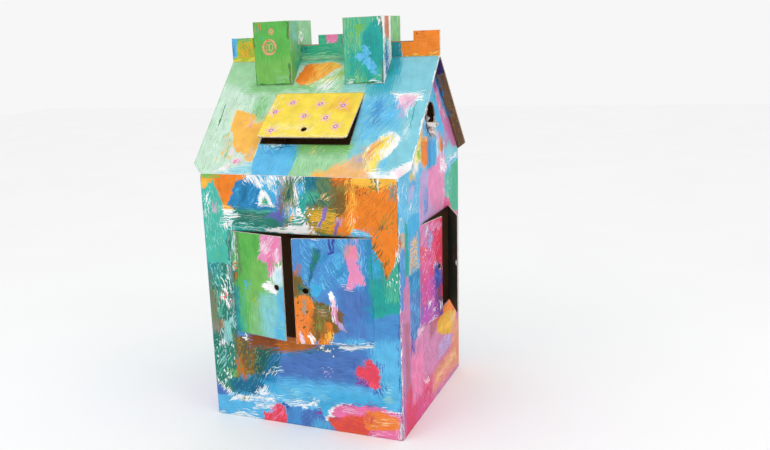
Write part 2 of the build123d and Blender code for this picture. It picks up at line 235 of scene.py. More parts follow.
# The paint on each face, in the order it was put on, in millimetres across and up from its lower left corner
daubs = {}
# The navy line along the folded corner is paint settled in the crease, darkened further as painted crease shade
daubs["front_wall"] = daubs_of("""
teal full up: 0,0 700,865
# Blue foot of the wall
cornflower full across: 0,0 700,440
sky blend up: 600,100 600,330 700,350 700,100
denim blend across: 250,176 262,240 470,300 570,292 550,184
denim blend across: 262,184 270,216 430,226 440,196
sky dry across: 240,100 250,150 700,180 700,100
sky blend across: 230,100 240,160 700,172 700,95
azure blend across: 420,98 430,136 650,140 650,98
turquoise dry across: 632,120 640,200 664,200 670,120
sky full across: 0,0 0,84 240,122 440,112 440,60 280,0
# Left border
bottle full up: 0,95 0,640 103,640 103,100 60,84
deep teal worn up: 0,470 60,610
aqua streaky tufts: 0,330 103,600
taupe worn up: 0,300 0,470 34,460 38,310
moss dry up: 0,340 0,540 30,530 36,340
jade dry up: 34,360 36,560 60,560 62,360
white dry tufts: 56,425 54,505 80,505 78,425
red dry spots: 52,430 54,454 86,450 82,428
white dry up: 68,396 70,432 79,432 79,396
white dry up: 80,470 80,690 91,690 92,470
grey dry up: 88,300 90,690 102,690 102,300
aqua worn up: 40,270 44,350 84,360 84,280
ice dry up: 30,262 40,345 60,350 66,270
white dry up: 26,258 40,322 56,322 48,258
rust worn up: 38,328 42,350 54,350 52,328
ice dry up: 86,330 88,368 102,368 100,330
crimson flecks tufts: 0,560 16,660
jade streaky slant: 0,110 0,260 70,260 100,100 60,90
white flecks tufts: 0,120 0,280 84,280 100,110
aqua dry slant: 18,190 38,254 58,240 50,190
leaf dry slant: 62,138 70,180 100,184 104,146
white dry slant: 82,128 84,152 98,150 100,128
white dry spots: 46,144 46,158 72,162 72,146
# Dark greens and browns under the window
prussian worn slant: 66,86 60,136 150,168 250,196 226,128 160,88
pine worn up: 140,170 138,272 236,284 268,250 240,172
prussian worn slant: 190,146 200,190 240,262 266,244 238,168
jade flecks slant: 70,100 70,260 250,260 230,110
umber worn up: 96,236 92,304 150,310 166,240 152,180 106,160
rust worn up: 96,162 92,214 112,224 136,172 124,148
umber worn spots: 118,164 120,196 160,200 168,166
olive streaky spots: 86,150 182,304
pine dry up: 120,200 124,300 142,300 140,200
sienna worn across: 148,272 150,318 320,318 300,266
rust worn across: 250,260 256,318 412,318 404,286 330,266
umber dry across: 180,250 184,284 264,286 272,256
sienna streaky across: 200,258 204,312 404,312 400,284
orange flecks across: 220,270 224,312 400,312 396,288
pine dry across: 296,258 298,270 408,290 408,278
white dry spots: 126,292 128,314 148,314 148,294
cornflower dry slant: 228,216 240,244 262,250 262,226
# Blues and dry whites at the foot
denim loaded across: 0,74 0,120 26,110 56,84 40,72
cornflower dry across: 0,6 0,24 96,22 60,4
azure streaky across: 0,0 0,72 220,66 220,0
azure worn slant: 192,98 194,150 240,162 252,108
ocean worn slant: 206,144 212,176 240,182 246,148
white worn slant: 20,114 25,120 66,84 56,78
white loaded across: 58,56 66,72 84,83 152,86 152,64
white worn across: 90,62 96,78 230,94 238,68
white worn across: 150,46 154,59 238,63 232,48
white worn across: 158,86 164,97 208,108 206,92
white worn slant: 166,100 170,113 208,124 206,108
sky streaky across: 64,50 74,92 238,98 238,50
olive dry slant: 84,58 88,66 142,84 144,76
pine dry slant: 66,72 74,84 104,92 98,80
white dry across: 0,0 4,11 160,24 200,0
white dry slant: 198,170 202,184 244,192 238,180
ice dry across: 234,190 238,201 280,202 274,191
ice dry across: 226,90 230,108 274,110 270,94
ice dry across: 262,74 272,98 412,110 410,76
white worn across: 282,66 288,77 362,82 352,68
white dry across: 296,80 302,94 360,98 358,84
white dry spots: 364,76 368,100 408,104 408,86
turquoise streaky across: 280,100 284,140 440,140 440,104
azure worn slant: 396,58 400,108 446,112 460,96 440,58
cornflower full slant: 274,0 276,64 338,70 344,0
denim loaded slant: 332,0 338,54 360,69 398,71 418,52 434,24 438,0
sky blend up: 380,0 384,22 432,22 436,0
plum dry spots: 390,52 394,70 416,64 412,48
navy worn spots: 264,54 268,69 286,68 280,54
# Two red blots
red loaded slant: 220,0 222,44 240,66 252,70 270,58 277,36 272,0
red loaded slant: 184,24 190,31 228,36 228,0 196,0
pink dry slant: 214,26 220,48 240,66 242,40
pink streaky slant: 200,4 204,60 270,60 270,4
navy dry slant: 528,236 536,250 562,244 556,226
navy dry across: 518,184 522,198 552,198 552,184
navy dry slant: 566,262 572,280 588,280 586,262
navy dry lean: 590,150 594,176 634,196 648,172 630,148
navy dry up: 610,236 614,266 630,262 634,236
plum worn across: 542,182 548,204 584,200 580,180
red loaded slant: 572,260 588,275 604,269 620,250 628,214 620,182 600,173 582,184 572,206
red loaded slant: 542,222 552,239 568,242 586,230 588,204 556,202
pink streaky slant: 560,186 566,264 622,250 620,186
crimson streaky slant: 546,200 546,240 620,250 620,190
lilac dry spots: 422,198 424,218 444,218 444,200
pine dry spots: 396,274 398,306 460,308 462,272
white streaky spots: 398,276 400,304 462,306 462,274
navy dry across: 456,292 460,310 488,312 486,294
white loaded across: 484,302 486,312 560,323 608,326 602,314 520,299
ice streaky across: 484,300 486,314 606,326 604,312
# Pink and orange patch in the lower right corner
white loaded across: 426,38 444,84 474,103 524,106 520,60 446,30
pink loaded across: 448,62 456,88 480,99 560,106 640,106 700,88 700,0 560,0
magenta streaky across: 450,50 454,96 690,104 690,50
pale pink dry across: 484,78 488,97 562,86 558,73
pale pink dry across: 616,82 620,96 690,88 690,74
brick loaded across: 434,42 446,51 562,74 592,60 572,0 490,0 444,18
flame loaded across: 562,62 580,89 640,95 686,80 692,56 678,32 600,20 566,24
orange streaky across: 568,26 572,88 684,80 684,30
apricot dry across: 598,46 604,61 670,68 666,53
crimson dry slant: 550,4 570,82 583,82 568,4
crimson streaky slant: 446,8 450,50 600,84 594,6
pink loaded across: 588,0 594,18 640,31 700,22 700,0
pale pink dry across: 598,3 602,15 648,17 644,5
white worn up: 686,6 689,62 700,66 700,6
plum dry across: 496,98 502,106 620,116 626,103
plum dry across: 446,50 452,60 470,58 466,48
white dry across: 636,95 640,105 700,100 700,90
# Upper left corner
azure loaded slant: 180,700 400,865
orange loaded up: 0,725 0,865 142,865 141,842 130,792 106,764 70,736
orange loaded slant: 60,865 188,865 174,852 140,840 60,830
orange loaded up: 78,748 80,790 128,790 126,760 108,746
gold worn across: 82,738 80,758 104,766 134,750 114,733
gold blend slant: 0,796 0,858 46,850 12,796
rust flecks up: 60,780 60,855 160,855 130,780
leaf worn across: 0,857 0,865 86,865 78,858
light teal loaded up: 0,560 0,790 52,843 64,815 79,768 87,700 88,560
aqua streaky tufts: 0,600 0,780 50,820 70,780 80,620
jade streaky up: 0,560 4,760 70,760 84,560
white dry slant: 12,760 22,802 34,798 26,760
white dry up: 6,724 8,750 22,746 20,724
rose dry up: 40,740 42,764 54,764 54,740
# Blue patch, and the whites beside it
ocean full slant: 100,762 141,846 172,859 206,846 229,822 216,764
ocean loaded across: 108,768 280,768 286,749 130,743
azure streaky slant: 118,766 146,850 214,842 222,766
prussian dry slant: 146,768 156,836 184,840 178,768
azure dry across: 180,750 182,764 286,764 286,752
teal loaded lean: 224,770 236,804 250,800 272,768
leaf dry spots: 230,770 232,794 250,792 250,770
white loaded slant: 217,768 233,817 243,815 231,768
white loaded lean: 234,817 249,812 277,767 264,768 242,794
white dry across: 210,760 210,769 286,771 286,762
white dry across: 182,747 184,753 294,754 294,748
white worn lean: 188,862 200,869 238,832 227,824
white dry lean: 166,844 182,867 198,858 184,840
white worn lean: 206,866 228,866 244,846 230,838
white dry lean: 240,846 250,866 304,866 290,830 262,820
white dry lean: 258,824 264,846 294,812 284,802
teal flecks lean: 230,760 300,866
# Band over the left half of the window
bottle worn across: 112,684 124,752 300,752 320,684
moss streaky across: 124,724 126,752 284,752 284,724
jade dry across: 176,742 178,754 290,756 290,742
grey streaky across: 128,700 130,734 230,734 230,700
aqua dry across: 100,680 108,704 250,700 250,680
beige flecks across: 150,680 240,696
white worn across: 84,730 84,746 124,744 118,729
white worn across: 84,714 84,727 136,730 142,720
white dry across: 82,698 84,713 114,713 126,706
white dry up: 84,682 84,706 114,706 112,682
# Whites right of it
white worn slant: 318,700 320,800 330,865 392,865 396,700
azure worn up: 356,766 354,850 388,852 396,770
azure dry up: 298,830 298,866 344,866 340,834
bottle dry slant: 286,832 288,866 392,866 390,840
white dry lean: 290,830 292,866 350,866 346,836
teal worn slant: 348,716 352,790 392,806 396,716
bottle streaky spots: 340,696 400,800
white worn slant: 341,790 351,830 366,822 359,784
white dry spots: 338,700 340,776 394,752 400,704
indigo worn up: 280,744 286,790 300,822 316,822 314,716 300,706 290,714
indigo loaded across: 236,722 239,731 288,753 308,744 308,724
bottle dry across: 240,704 244,730 300,726 296,704
taupe blend up: 302,756 300,830 318,858 342,858 352,800 346,768 322,742
moss worn up: 316,784 320,848 346,850 356,808 348,774
pine dry up: 322,790 328,850 346,850 350,800
umber dry up: 296,738 298,802 310,802 316,738
lilac flecks tufts: 284,720 330,830
taupe worn up: 308,692 312,762 330,762 324,692
beige dry slant: 314,690 320,764 328,764 324,690
light teal worn across: 326,706 330,736 384,738 380,708
bottle dry across: 326,702 330,744 390,744 386,704
sky worn up: 330,742 332,762 350,760 350,742
amber dry slant: 324,698 328,746 346,738 338,698
white loaded across: 242,680 243,692 404,717 424,700 432,680
bottle dry across: 296,698 302,726 352,726 344,704
# Olive, then orange, in the upper right corner
deep teal loaded up: 387,760 480,865
moss blend up: 424,730 420,865 560,865 560,730
jade worn lean: 388,784 394,814 430,824 446,800 420,780
teal dry up: 364,748 364,804 396,804 402,748
prussian dry up: 390,824 390,866 436,866 436,820
pine streaky lean: 400,760 404,865 520,865 520,760
umber blend up: 488,750 486,850 570,850 570,750
olive loaded slant: 390,716 384,744 420,774 480,770 512,744 504,680 424,680
moss streaky slant: 386,730 398,776 500,790 500,740
umber streaky spots: 394,684 394,770 540,800 540,684
mustard dry across: 396,684 506,764
mustard flecks spots: 396,684 506,764
white flecks spots: 392,700 444,766
apricot dry slant: 444,798 450,812 482,810 470,798
orange worn up: 548,865 700,865 700,684 540,694 528,780 536,830
orange worn slant: 478,678 492,735 540,800 600,800 600,678
rust worn slant: 474,866 562,866 558,824 520,816 488,842
orange dry slant: 488,848 490,866 544,866 550,848
olive dry slant: 496,816 504,850 540,846 536,810
gold worn across: 552,844 548,866 700,866 700,846 620,836
umber dry slant: 494,738 506,806 548,806 534,740
gold streaky slant: 520,690 530,860 700,860 700,690
rust streaky slant: 560,690 700,840
amber dry slant: 524,712 530,766 552,766 550,716
gold dry up: 538,766 544,850 558,850 558,768
white dry up: 547,724 549,740 560,740 558,724
olive worn spots: 616,832 636,864
white dry up: 626,834 628,860 637,860 637,834
taupe worn slant: 667,804 671,844 697,844 693,802
white dry up: 684,812 686,840 692,840 692,812
olive dry slant: 636,720 644,748 682,748 672,728
umber worn up: 633,688 636,718 651,718 654,690
olive dry spots: 660,686 684,720
umber dry spots: 570,812 572,836 590,834 588,812
violet full up: 455,774 463,771 440,704 430,708
lilac dry up: 420,698 428,716 438,714 432,698
violet full up: 495,731 506,729 490,682 479,683
lilac worn up: 494,724 496,732 507,730 504,722
# Teal strip right of the window, and the orange drip over it
teal loaded up: 598,410 598,690 700,690 700,446
azure blend up: 586,540 586,690 630,690 636,560
deep teal streaky up: 600,430 600,660 700,660 700,450
jade dry up: 650,470 654,640 700,640 700,470
white flecks tufts: 664,520 668,610 700,610 700,520
orange loaded up: 602,704 700,704 700,648 688,616 640,602 612,652
orange loaded up: 637,642 692,632 676,580 664,552 656,552 647,585
umber dry slant: 602,682 616,690 652,606 640,594 612,640
bottle flecks spots: 604,636 604,700 648,700 648,620
umber dry up: 652,552 650,610 664,610 664,552
white dry up: 689,600 700,662
sky loaded across: 536,680 546,697 562,705 590,697 614,680
ice dry across: 544,684 556,700 590,694 600,684
navy dry up: 690,4 696,430
""")
daubs["front_left_shutter"] = daubs_of("""
grass full up: 0,0 215,357
sage blend up: 60,0 60,150 100,240 150,260 215,200 215,0
shadow green blend up: 36,250 36,357 100,357 100,270
grass worn up: 34,240 34,357 104,357 104,250
leaf blend up: 70,120 80,262 140,268 140,150
lime dry slant: 76,106 82,128 112,132 106,110
aqua blend up: 118,0 112,110 120,148 215,160 215,0
turquoise dry up: 130,0 204,110
azure blend across: 178,8 208,36
sky blend up: 192,60 215,190
aqua dry across: 106,126 110,152 164,152 154,128
azure dry spots: 50,162 50,192 76,194 78,166
moss worn up: 14,200 14,357 36,357 38,200
bottle dry up: 0,170 0,357 24,357 28,170
deep teal worn up: 0,0 0,172 20,168 28,0
teal worn up: 14,0 14,60 34,60 40,0
jade dry up: 22,0 20,150 46,140 50,0
white worn up: 10,240 12,345 18,345 17,240
ice dry up: 2,250 20,357
rust worn spots: 0,198 13,234
white worn across: 0,220 9,230
umber dry up: 4,166 4,206 15,206 17,166
rose loaded slant: 134,350 150,357 215,357 215,300 196,262 150,272 128,300 130,330
rose loaded slant: 112,266 132,296 170,300 170,268
mauve streaky slant: 126,276 136,357 215,357 210,276
pink loaded slant: 152,262 158,300 172,300 172,232 164,218 154,220
pink worn slant: 168,330 196,350 206,344 189,300 172,290
pink worn slant: 170,300 190,300 186,240 170,244
pale pink dry slant: 118,300 150,352 182,352 162,290
pale pink worn up: 188,262 190,300 204,306 206,262
white worn up: 166,202 166,236 186,262 215,266 215,196 180,190
ice blend up: 180,196 184,240 215,240 215,196
white loaded across: 124,176 136,193 152,198 184,190 196,170 184,154 150,166
""")


def from_right(width, daubs_of_face):
    """Dabs whose corners were measured from a face's right-hand edge."""
    return [one._replace(corners=one.corners * (-1, 1) + (width * MM, 0)) for one in daubs_of_face]


daubs["front_right_shutter"] = from_right(257, daubs_of("""
cornflower full up: 0,0 257,357
denim streaky lean: 0,0 257,357
sky streaky lean: 16,190 230,357
denim blend up: 10,80 10,190 110,190 100,80
cornflower blend up: 0,0 140,80
sky dry up: 20,0 104,190
denim dry up: 20,20 20,190 120,190 130,20
ocean blend up: 0,90 16,357
teal worn up: 0,120 0,330 9,330 11,120
sky dry up: 18,236 20,336 42,336 40,240
azure dry slant: 84,236 96,310 124,300 112,236
sky dry lean: 76,316 80,357 116,357 112,316
ocean dry slant: 92,230 94,262 130,246 126,230
azure full up: 160,196 168,206 192,208 203,197 205,180 196,165 180,166 166,180
azure dry spots: 158,212 176,240
prussian loaded lean: 161,318 181,319 208,226 204,208 182,262
bottle worn up: 170,284 171,318 184,318 200,250 190,246
denim dry lean: 158,270 166,276 190,236 184,228
ocean worn lean: 138,304 148,308 162,282 154,276
navy full up: 114,357 121,357 125,310 117,311
navy full lean: 117,318 122,308 143,302 141,312 126,320
navy full up: 129,357 136,357 134,314 128,316
umber loaded lean: 97,62 98,100 112,124 140,136 190,150 257,150 257,0 140,30
umber worn lean: 186,148 222,205 240,228 257,230 257,140
moss worn spots: 200,150 214,190 240,226 257,226 257,160
umber worn up: 234,160 238,240 257,240 257,160
pine dry spots: 208,158 212,200 236,204 236,158
moss worn spots: 138,92 142,124 188,146 192,100
rust worn up: 236,238 238,266 243,271 248,262 248,236
orange loaded up: 190,132 200,150 222,172 240,164 257,150 257,96 200,92
orange loaded up: 200,100 257,110 257,0 200,0 190,40
orange loaded up: 134,60 138,76 160,80 176,40 190,0 141,0 137,40
umber blend up: 160,30 160,100 200,110 204,40
olive dry up: 160,40 162,110 196,110 196,40
flame blend up: 216,30 257,100
gold worn up: 138,2 138,36 150,40 158,2
grey worn lean: 216,158 222,164 232,118 226,110
umber flecks spots: 136,0 136,130 257,160 257,0
salmon dry across: 160,106 162,118 188,122 186,108
rose loaded up: 44,322 50,333 68,333 77,322 77,240 40,240
rose loaded up: 41,262 76,262 80,216 60,204 20,204 31,236
rose loaded up: 50,202 78,220 89,193 76,189
salmon blend up: 54,300 56,326 72,326 72,300
pink streaky up: 38,210 44,330 76,330 80,210
pale pink dry across: 74,190 76,198 90,196 88,190
rose dry up: 44,342 46,357 64,357 62,342
white full lean: 125,150 126,174 136,180 144,174 138,150
pale pink full up: 119,126 124,156 139,156 135,126
rose full up: 115,96 118,132 136,132 131,96
mauve full up: 108,74 115,102 131,102 122,74
lilac loaded slant: 90,50 108,78 123,78 106,54
white dry up: 122,90 126,150 132,150 130,90
white loaded lean: 184,0 199,0 216,29 211,35 202,27
pale pink loaded lean: 225,0 240,0 248,36 243,45 236,35
white dry across: 0,0 0,4 142,5 142,0
white dry across: 180,352 182,357 257,357 257,353
"""))
daubs["side_near_shutter"] = daubs_of("""
magenta full up: 0,0 161,357
mauve blend slant: 0,280 0,357 80,357 64,280
crimson blend up: 84,180 84,330 120,357 161,357 161,180
red streaky slant: 60,190 161,350
crimson dry up: 110,200 114,290 161,290 161,190
brick dry slant: 0,210 0,290 50,284 44,220
rose streaky slant: 0,180 130,357
rose dry slant: 70,318 76,352 161,350 161,314
cornflower worn up: 54,280 52,310 80,310 86,286
ice dry slant: 40,320 44,346 66,346 64,322
lilac dry spots: 50,262 56,320 92,320 88,262
pale pink dry spots: 30,244 34,264 52,262 48,244
orchid blend slant: 0,0 0,120 60,160 161,130 161,0
magenta dry slant: 0,60 0,170 70,150 96,70
violet dry slant: 40,40 44,80 90,80 84,40
plum worn lean: 100,0 90,60 104,140 161,150 161,0
dark card dry up: 122,40 118,120 161,130 161,40
crimson dry up: 140,60 161,120
orchid streaky lean: 20,0 30,140 130,130 130,0
rose flecks spots: 0,0 120,260
navy worn lean: 98,150 96,192 126,200 156,166 146,118 112,118
denim dry lean: 104,150 108,172 146,160 144,140
white dry slant: 96,190 102,206 126,202 120,190
beige dry up: 136,166 138,186 154,186 156,166
white worn slant: 59,62 57,70 74,74 78,66
rose worn slant: 78,68 80,84 98,78 98,66
white dry slant: 82,28 84,40 106,38 104,28
white worn up: 146,30 144,52 158,54 160,32
denim dry up: 0,40 0,190 12,190 16,40
white dry across: 0,0 0,6 120,7 120,0
""")
daubs["skylight"] = daubs_of("""
sun full across: 0,0 320,212
yellow blend across: 0,0 0,60 320,70 320,0
yellow worn slant: 90,20 96,110 250,120 240,20
pale yellow dry across: 0,0 0,14 320,12 320,0
pale yellow dry slant: 0,100 0,212 22,212 18,100
gold dry slant: 210,120 216,190 300,200 306,120
pale yellow dry slant: 30,30 34,60 200,60 190,30
""")
# The leaf band along the top of this patch, under the skylight's lifted edge, is painted shadow
# The prussian band under the skylight's lifted edge is painted shadow
# The two fine lines mark the tab slots: painted shade in the slots
daubs["front_roof"] = daubs_of("""
mint full up: 0,0 770,489
pale green blend up: 0,400 0,489 250,489 230,340 100,350
pale green blend up: 148,210 156,330 216,345 218,215
sage dry up: 140,230 146,330 214,330 214,224
pale green streaky up: 0,0 0,489 230,489 230,60
sage dry up: 82,160 80,300 92,300 100,160
sage dry up: 96,60 98,160 128,150 126,60
pale green dry up: 110,280 112,370 140,370 140,280
sage blend across: 110,352 112,382 470,380 470,345
jade blend across: 250,472 460,489
turquoise loaded up: 545,0 548,340 600,489 770,489 770,0
aqua blend across: 450,345 456,386 620,386 620,345
pale yellow dry up: 84,190 76,280 96,282 106,190
amber full up: 88,272 166,250 172,200 98,176
amber full up: 96,206 206,218 218,204 222,60 212,44 140,98 124,124
gold streaky up: 88,60 88,270 220,250 220,60
apricot worn spots: 148,200 150,238 170,236 168,198
mauve dry up: 158,196 158,216 166,222 168,198
beige dry up: 184,60 186,110 214,110 214,56
pale green full up: 357,126 556,126 556,66 500,0 366,0
sage blend across: 360,90 360,132 556,132 556,96
leaf blend across: 370,112 540,132
pale yellow dry slant: 412,90 416,114 452,116 450,92
lime dry slant: 420,98 424,110 444,112 440,98
sage streaky up: 366,0 366,120 540,120 520,0
ice worn across: 100,4 176,40 246,56 244,0 94,0
turquoise dry across: 110,2 160,34 240,50 240,2
sky full up: 224,126 357,126 376,76 362,0 238,0 222,60
azure blend up: 290,90 290,128 362,128 366,90
sky streaky slant: 230,0 366,120
cornflower dry lean: 232,84 240,104 284,92 276,74
prussian dry across: 246,112 248,128 352,128 352,114
ice dry spots: 240,112 242,128 320,128 320,116
jade dry up: 354,60 356,126 372,126 380,62
white worn slant: 98,12 120,40 142,46 134,20
pale pink worn slant: 118,26 128,40 140,40 136,26
pale pink worn slant: 142,50 150,74 176,74 182,54 164,46
pink dry spots: 150,52 152,68 170,68 172,54
pale pink dry up: 126,84 128,116 144,112 146,88
mint worn slant: 146,66 150,88 180,82 184,62
pale yellow dry across: 170,0 176,6 220,8 224,0
amber worn across: 420,0 456,20 480,26 500,12 500,0
apricot worn slant: 470,0 490,30 540,62 604,84 640,78 646,0
beige worn up: 560,40 566,84 606,92 640,76 640,34
gold streaky slant: 470,0 480,30 560,64 620,60 620,0
lilac dry slant: 584,60 590,80 618,84 616,62
salmon dry slant: 596,84 600,112 628,116 632,86
white loaded up: 606,100 632,152 664,182 688,182 706,160 708,124 680,80 652,60
pale yellow worn up: 604,86 634,146 660,172 682,168 690,140 672,90
pale yellow worn up: 606,90 672,100 654,20 630,20
yellow worn up: 632,100 656,160 676,160 684,130 668,92
yellow worn up: 640,30 632,110 668,100 654,30
white dry up: 654,90 660,160 670,160 668,96
amber worn slant: 602,82 622,130 640,150 650,140 634,80
salmon dry slant: 610,60 620,120 640,120 640,60
white worn across: 636,0 636,20 650,34 700,30 720,0
white worn across: 690,0 700,30 760,70 770,70 770,0
ice dry across: 660,10 664,30 700,30 710,12
pale pink dry across: 706,4 712,26 752,50 756,10
turquoise worn up: 680,26 672,60 700,90 748,84 730,50
sky dry slant: 664,34 666,74 688,80 690,40
sky blend up: 556,300 620,344 686,292 690,196 600,170 556,216
sky dry up: 560,140 566,300 640,250 640,140
cornflower blend up: 602,214 602,300 618,300 622,214
turquoise streaky slant: 556,160 560,340 700,330 700,160
ice dry slant: 706,150 708,220 736,220 730,150
lagoon worn up: 598,376 600,489 638,489 650,420 630,376
lagoon blend up: 556,340 560,400 650,400 640,340
teal dry up: 600,400 602,489 622,489 624,400
white worn across: 652,334 660,312 742,308 742,334
white dry up: 654,326 670,290 700,236 712,240 738,318
pale pink loaded up: 664,324 674,296 690,266 704,266 728,300 734,322
rose streaky slant: 664,270 668,324 730,324 726,280
lilac worn up: 686,236 684,286 698,286 702,240
flame full up: 272,388 298,466 330,470 330,380 300,374
amber full across: 302,384 310,468 404,474 434,458 372,402 330,371
orange worn up: 276,392 300,464 330,468 344,430 320,384
gold dry across: 340,440 346,468 424,470 432,450
orange streaky slant: 300,380 300,468 400,468 380,400
pale green worn slant: 344,372 380,402 436,448 466,440 460,350 380,344
lime dry slant: 372,392 430,444 462,438 450,396
pale yellow dry slant: 352,370 420,430 440,410 400,360
white dry slant: 362,346 372,384 430,396 440,350
shadow green fine up: 34.6,199 38.0,297
teal fine up: 732.0,199 734.6,297
white fine up: 766.5,40 770,489
""")
daubs["front_strip"] = daubs_of("""
lime full up: 0,0 140,82
grass worn lean: 22,10 34,66 84,66 84,14
mustard dry lean: 20,4 90,76
sky full up: 0,14 0,82 30,82 14,14
ocean dry up: 0,20 0,82 12,82 8,20
sea green worn across: 26,70 26,82 70,82 68,74
yellow worn across: 0,0 0,12 98,8 98,0
sea green full across: 140,0 610,82
jade streaky across: 260,0 470,82
deep teal dry spots: 260,20 300,48
pale green blend across: 270,0 470,6
jade blend up: 420,0 470,82
pink full across: 366,82 372,66 396,56 412,62 414,82
rose streaky slant: 366,56 414,82
deep teal worn up: 596,0 646,82
orange loaded up: 640,0 770,82
flame streaky across: 640,0 770,82
yellow dry across: 650,0 650,4 770,5 770,0
sienna dry spots: 700,74 702,82 716,82 716,74
""")
# The navy and denim lines beside the white crease at the folded corner are paint settled in the crease, darkened
# further as painted crease shade
daubs["right_wall"] = daubs_of("""
sky full up: 0,640 690,1215
mauve full up: 0,0 690,660
azure streaky slant: 0,670 240,880
turquoise streaky lean: 0,670 240,880
white flecks slant: 10,690 200,860
cornflower dry slant: 110,800 120,850 180,850 170,800
lilac dry slant: 96,770 100,820 160,826 156,772
white dry slant: 104,746 108,766 130,784 130,750
lilac loaded slant: 196,676 212,790 244,852 330,852 330,676
cornflower dry slant: 252,700 256,790 320,800 316,700
mauve dry up: 214,690 220,840 250,850 244,690
rose loaded slant: 306,676 312,850 450,856 520,810 500,676
pink streaky slant: 320,690 500,850
lilac dry slant: 290,680 296,740 400,700 400,680
grey flecks slant: 420,700 424,810 560,810 560,700
beige worn slant: 104,838 116,868 160,872 168,840
lime dry spots: 110,846 114,866 150,868 150,848
white worn up: 154,860 168,930 220,980 240,970 200,860
amber worn up: 196,930 210,976 252,990 252,936
pale yellow worn up: 164,884 180,944 224,964 232,884
lime worn spots: 186,896 190,934 226,936 226,898
orange loaded up: 234,880 236,950 270,962 322,956 314,868 270,862
gold dry across: 236,944 244,966 300,966 300,946
beige dry up: 236,858 240,884 262,884 262,862
azure streaky up: 300,970 300,1150 480,1060 480,940
ocean blend up: 312,850 314,946 346,946 346,850
azure loaded up: 344,848 346,930 400,936 406,850
cornflower streaky up: 312,848 406,946
turquoise dry up: 330,940 334,1000 420,1000 420,940
white dry up: 404,850 410,960 440,966 440,850
white dry up: 484,850 484,930 510,920 510,850
mauve dry spots: 410,930 414,960 450,960 450,930
orange worn up: 440,880 436,916 452,944 480,940 490,900 480,876
sienna dry up: 468,890 470,940 484,936 486,890
apricot dry up: 444,884 446,930 458,930 458,884
rose worn slant: 406,806 410,872 440,884 520,870 540,810
white dry lean: 440,816 450,880 530,850 520,800
jade loaded up: 556,640 550,790 600,826 690,838 690,640
jade dry slant: 490,716 494,806 566,812 570,700
sea green streaky up: 560,650 690,820
white flecks slant: 470,690 480,850 600,850 600,690
turquoise worn across: 510,838 520,900 600,930 690,890 690,836
white dry across: 530,830 540,850 690,862 690,842
mauve dry slant: 490,890 500,986 560,956 570,900
magenta loaded across: 486,668 494,712 520,718 560,700 592,668
pink dry across: 480,690 486,712 520,718 540,700
ocean worn lean: 340,1180 350,1215 400,1215 690,920 690,870 560,985
navy dry lean: 400,1130 420,1160 690,912 690,880
teal dry spots: 366,1066 370,1090 400,1090 400,1066
mauve loaded lean: 366,1130 384,1146 520,1010 480,986
mauve loaded lean: 480,986 520,1010 690,900 690,866 600,890
orchid streaky lean: 380,1120 396,1132 640,920 620,900 500,990
pale pink dry lean: 400,1090 410,1100 520,1000 510,990
white dry up: 284,990 282,1040 296,1052 300,994
white flecks spots: 284,940 286,1000 400,1000 400,940
plum dry lean: 364,1120 380,1150 420,1120 410,1096
cornflower loaded up: 0,440 0,640 54,640 58,440
sky streaky up: 0,440 60,660
rust worn spots: 0,640 0,690 26,690 28,640
beige worn spots: 22,636 22,690 60,684 60,640
bottle flecks spots: 0,620 100,700
azure loaded up: 84,520 84,720 206,720 204,520
beige dry spots: 86,540 104,650 190,664 200,530
apricot dry spots: 100,560 110,650 170,650 180,560
taupe flecks spots: 86,530 90,664 206,664 206,530
teal loaded up: 54,540 58,720 82,720 92,540
ocean loaded up: 84,440 84,536 204,534 202,440
denim loaded up: 88,350 86,466 202,466 202,350 160,300 110,300
navy worn up: 92,300 100,340 140,330 136,262 104,262
sky streaky slant: 86,300 86,530 200,530 200,320
mauve loaded up: 30,350 34,514 88,516 92,350
dusty rose worn up: 34,90 34,390 84,390 98,90
violet flecks tufts: 20,120 24,520 96,520 96,120
magenta blend up: 20,0 24,110 330,110 340,0
crimson dry lean: 30,0 34,150 140,190 160,60 120,0
pink blend up: 110,90 110,240 220,250 240,90
rose streaky lean: 100,80 110,310 420,300 420,80
pale pink dry across: 160,296 168,330 240,330 240,300
crimson dry slant: 210,40 220,126 340,110 330,30
white dry lean: 234,100 240,136 304,100 300,82
dusty rose worn up: 304,240 300,306 380,306 384,256
brick worn across: 370,276 370,310 470,314 460,280
mauve blend across: 380,110 384,206 600,216 620,110
lilac dry across: 400,120 400,196 600,206 610,120
orange loaded across: 420,262 440,318 560,322 620,262 600,240
mustard full across: 384,246 400,276 480,290 640,250 640,196 560,182 440,214
gold dry across: 400,236 410,262 560,250 600,200 500,196
apricot dry slant: 560,220 566,270 640,240 640,190
salmon blend across: 580,90 590,190 690,220 690,60
salmon worn across: 330,24 340,110 690,120 690,14
brick streaky across: 330,60 340,130 690,130 690,60
apricot dry across: 360,50 366,84 640,100 640,60
pink streaky lean: 200,0 210,110 560,60 560,0
white dry up: 4,0 14,180
navy dry up: 14,20 21,250
denim dry up: 16,180 26,520
white dry up: 0,200 7,865
""")
daubs["left_chimney_front"] = daubs_of("""
grass full up: 0,0 139,217
leaf blend up: 0,0 0,90 139,100 139,0
sage dry across: 72,12 74,44 128,44 126,12
brick dry up: 17,190 22,210 31,206 28,188
teal dry spots: 24,174 26,190 38,188 36,174
shadow green fine across: 0,0 139,9
shadow green fine up: 127.5,158 133,217
shadow green fine up: 127.5,0 133,79
shadow green fine up: 0,0 1.2,217
""")
daubs["left_chimney_right"] = daubs_of("""
pale green full up: 0,0 172,217
sage blend up: 0,0 0,217 60,217 90,100 60,0
sage streaky up: 0,0 172,217
aqua dry up: 10,150 12,212 60,212 56,150
teal dry up: 40,96 46,140 66,140 70,96
jade worn up: 20,0 24,84 84,104 84,60
grass dry up: 0,0 0,120 30,120 36,20
white dry spots: 68,150 72,186 100,184 96,148
pale pink dry spots: 66,140 70,156 90,154 86,140
""")
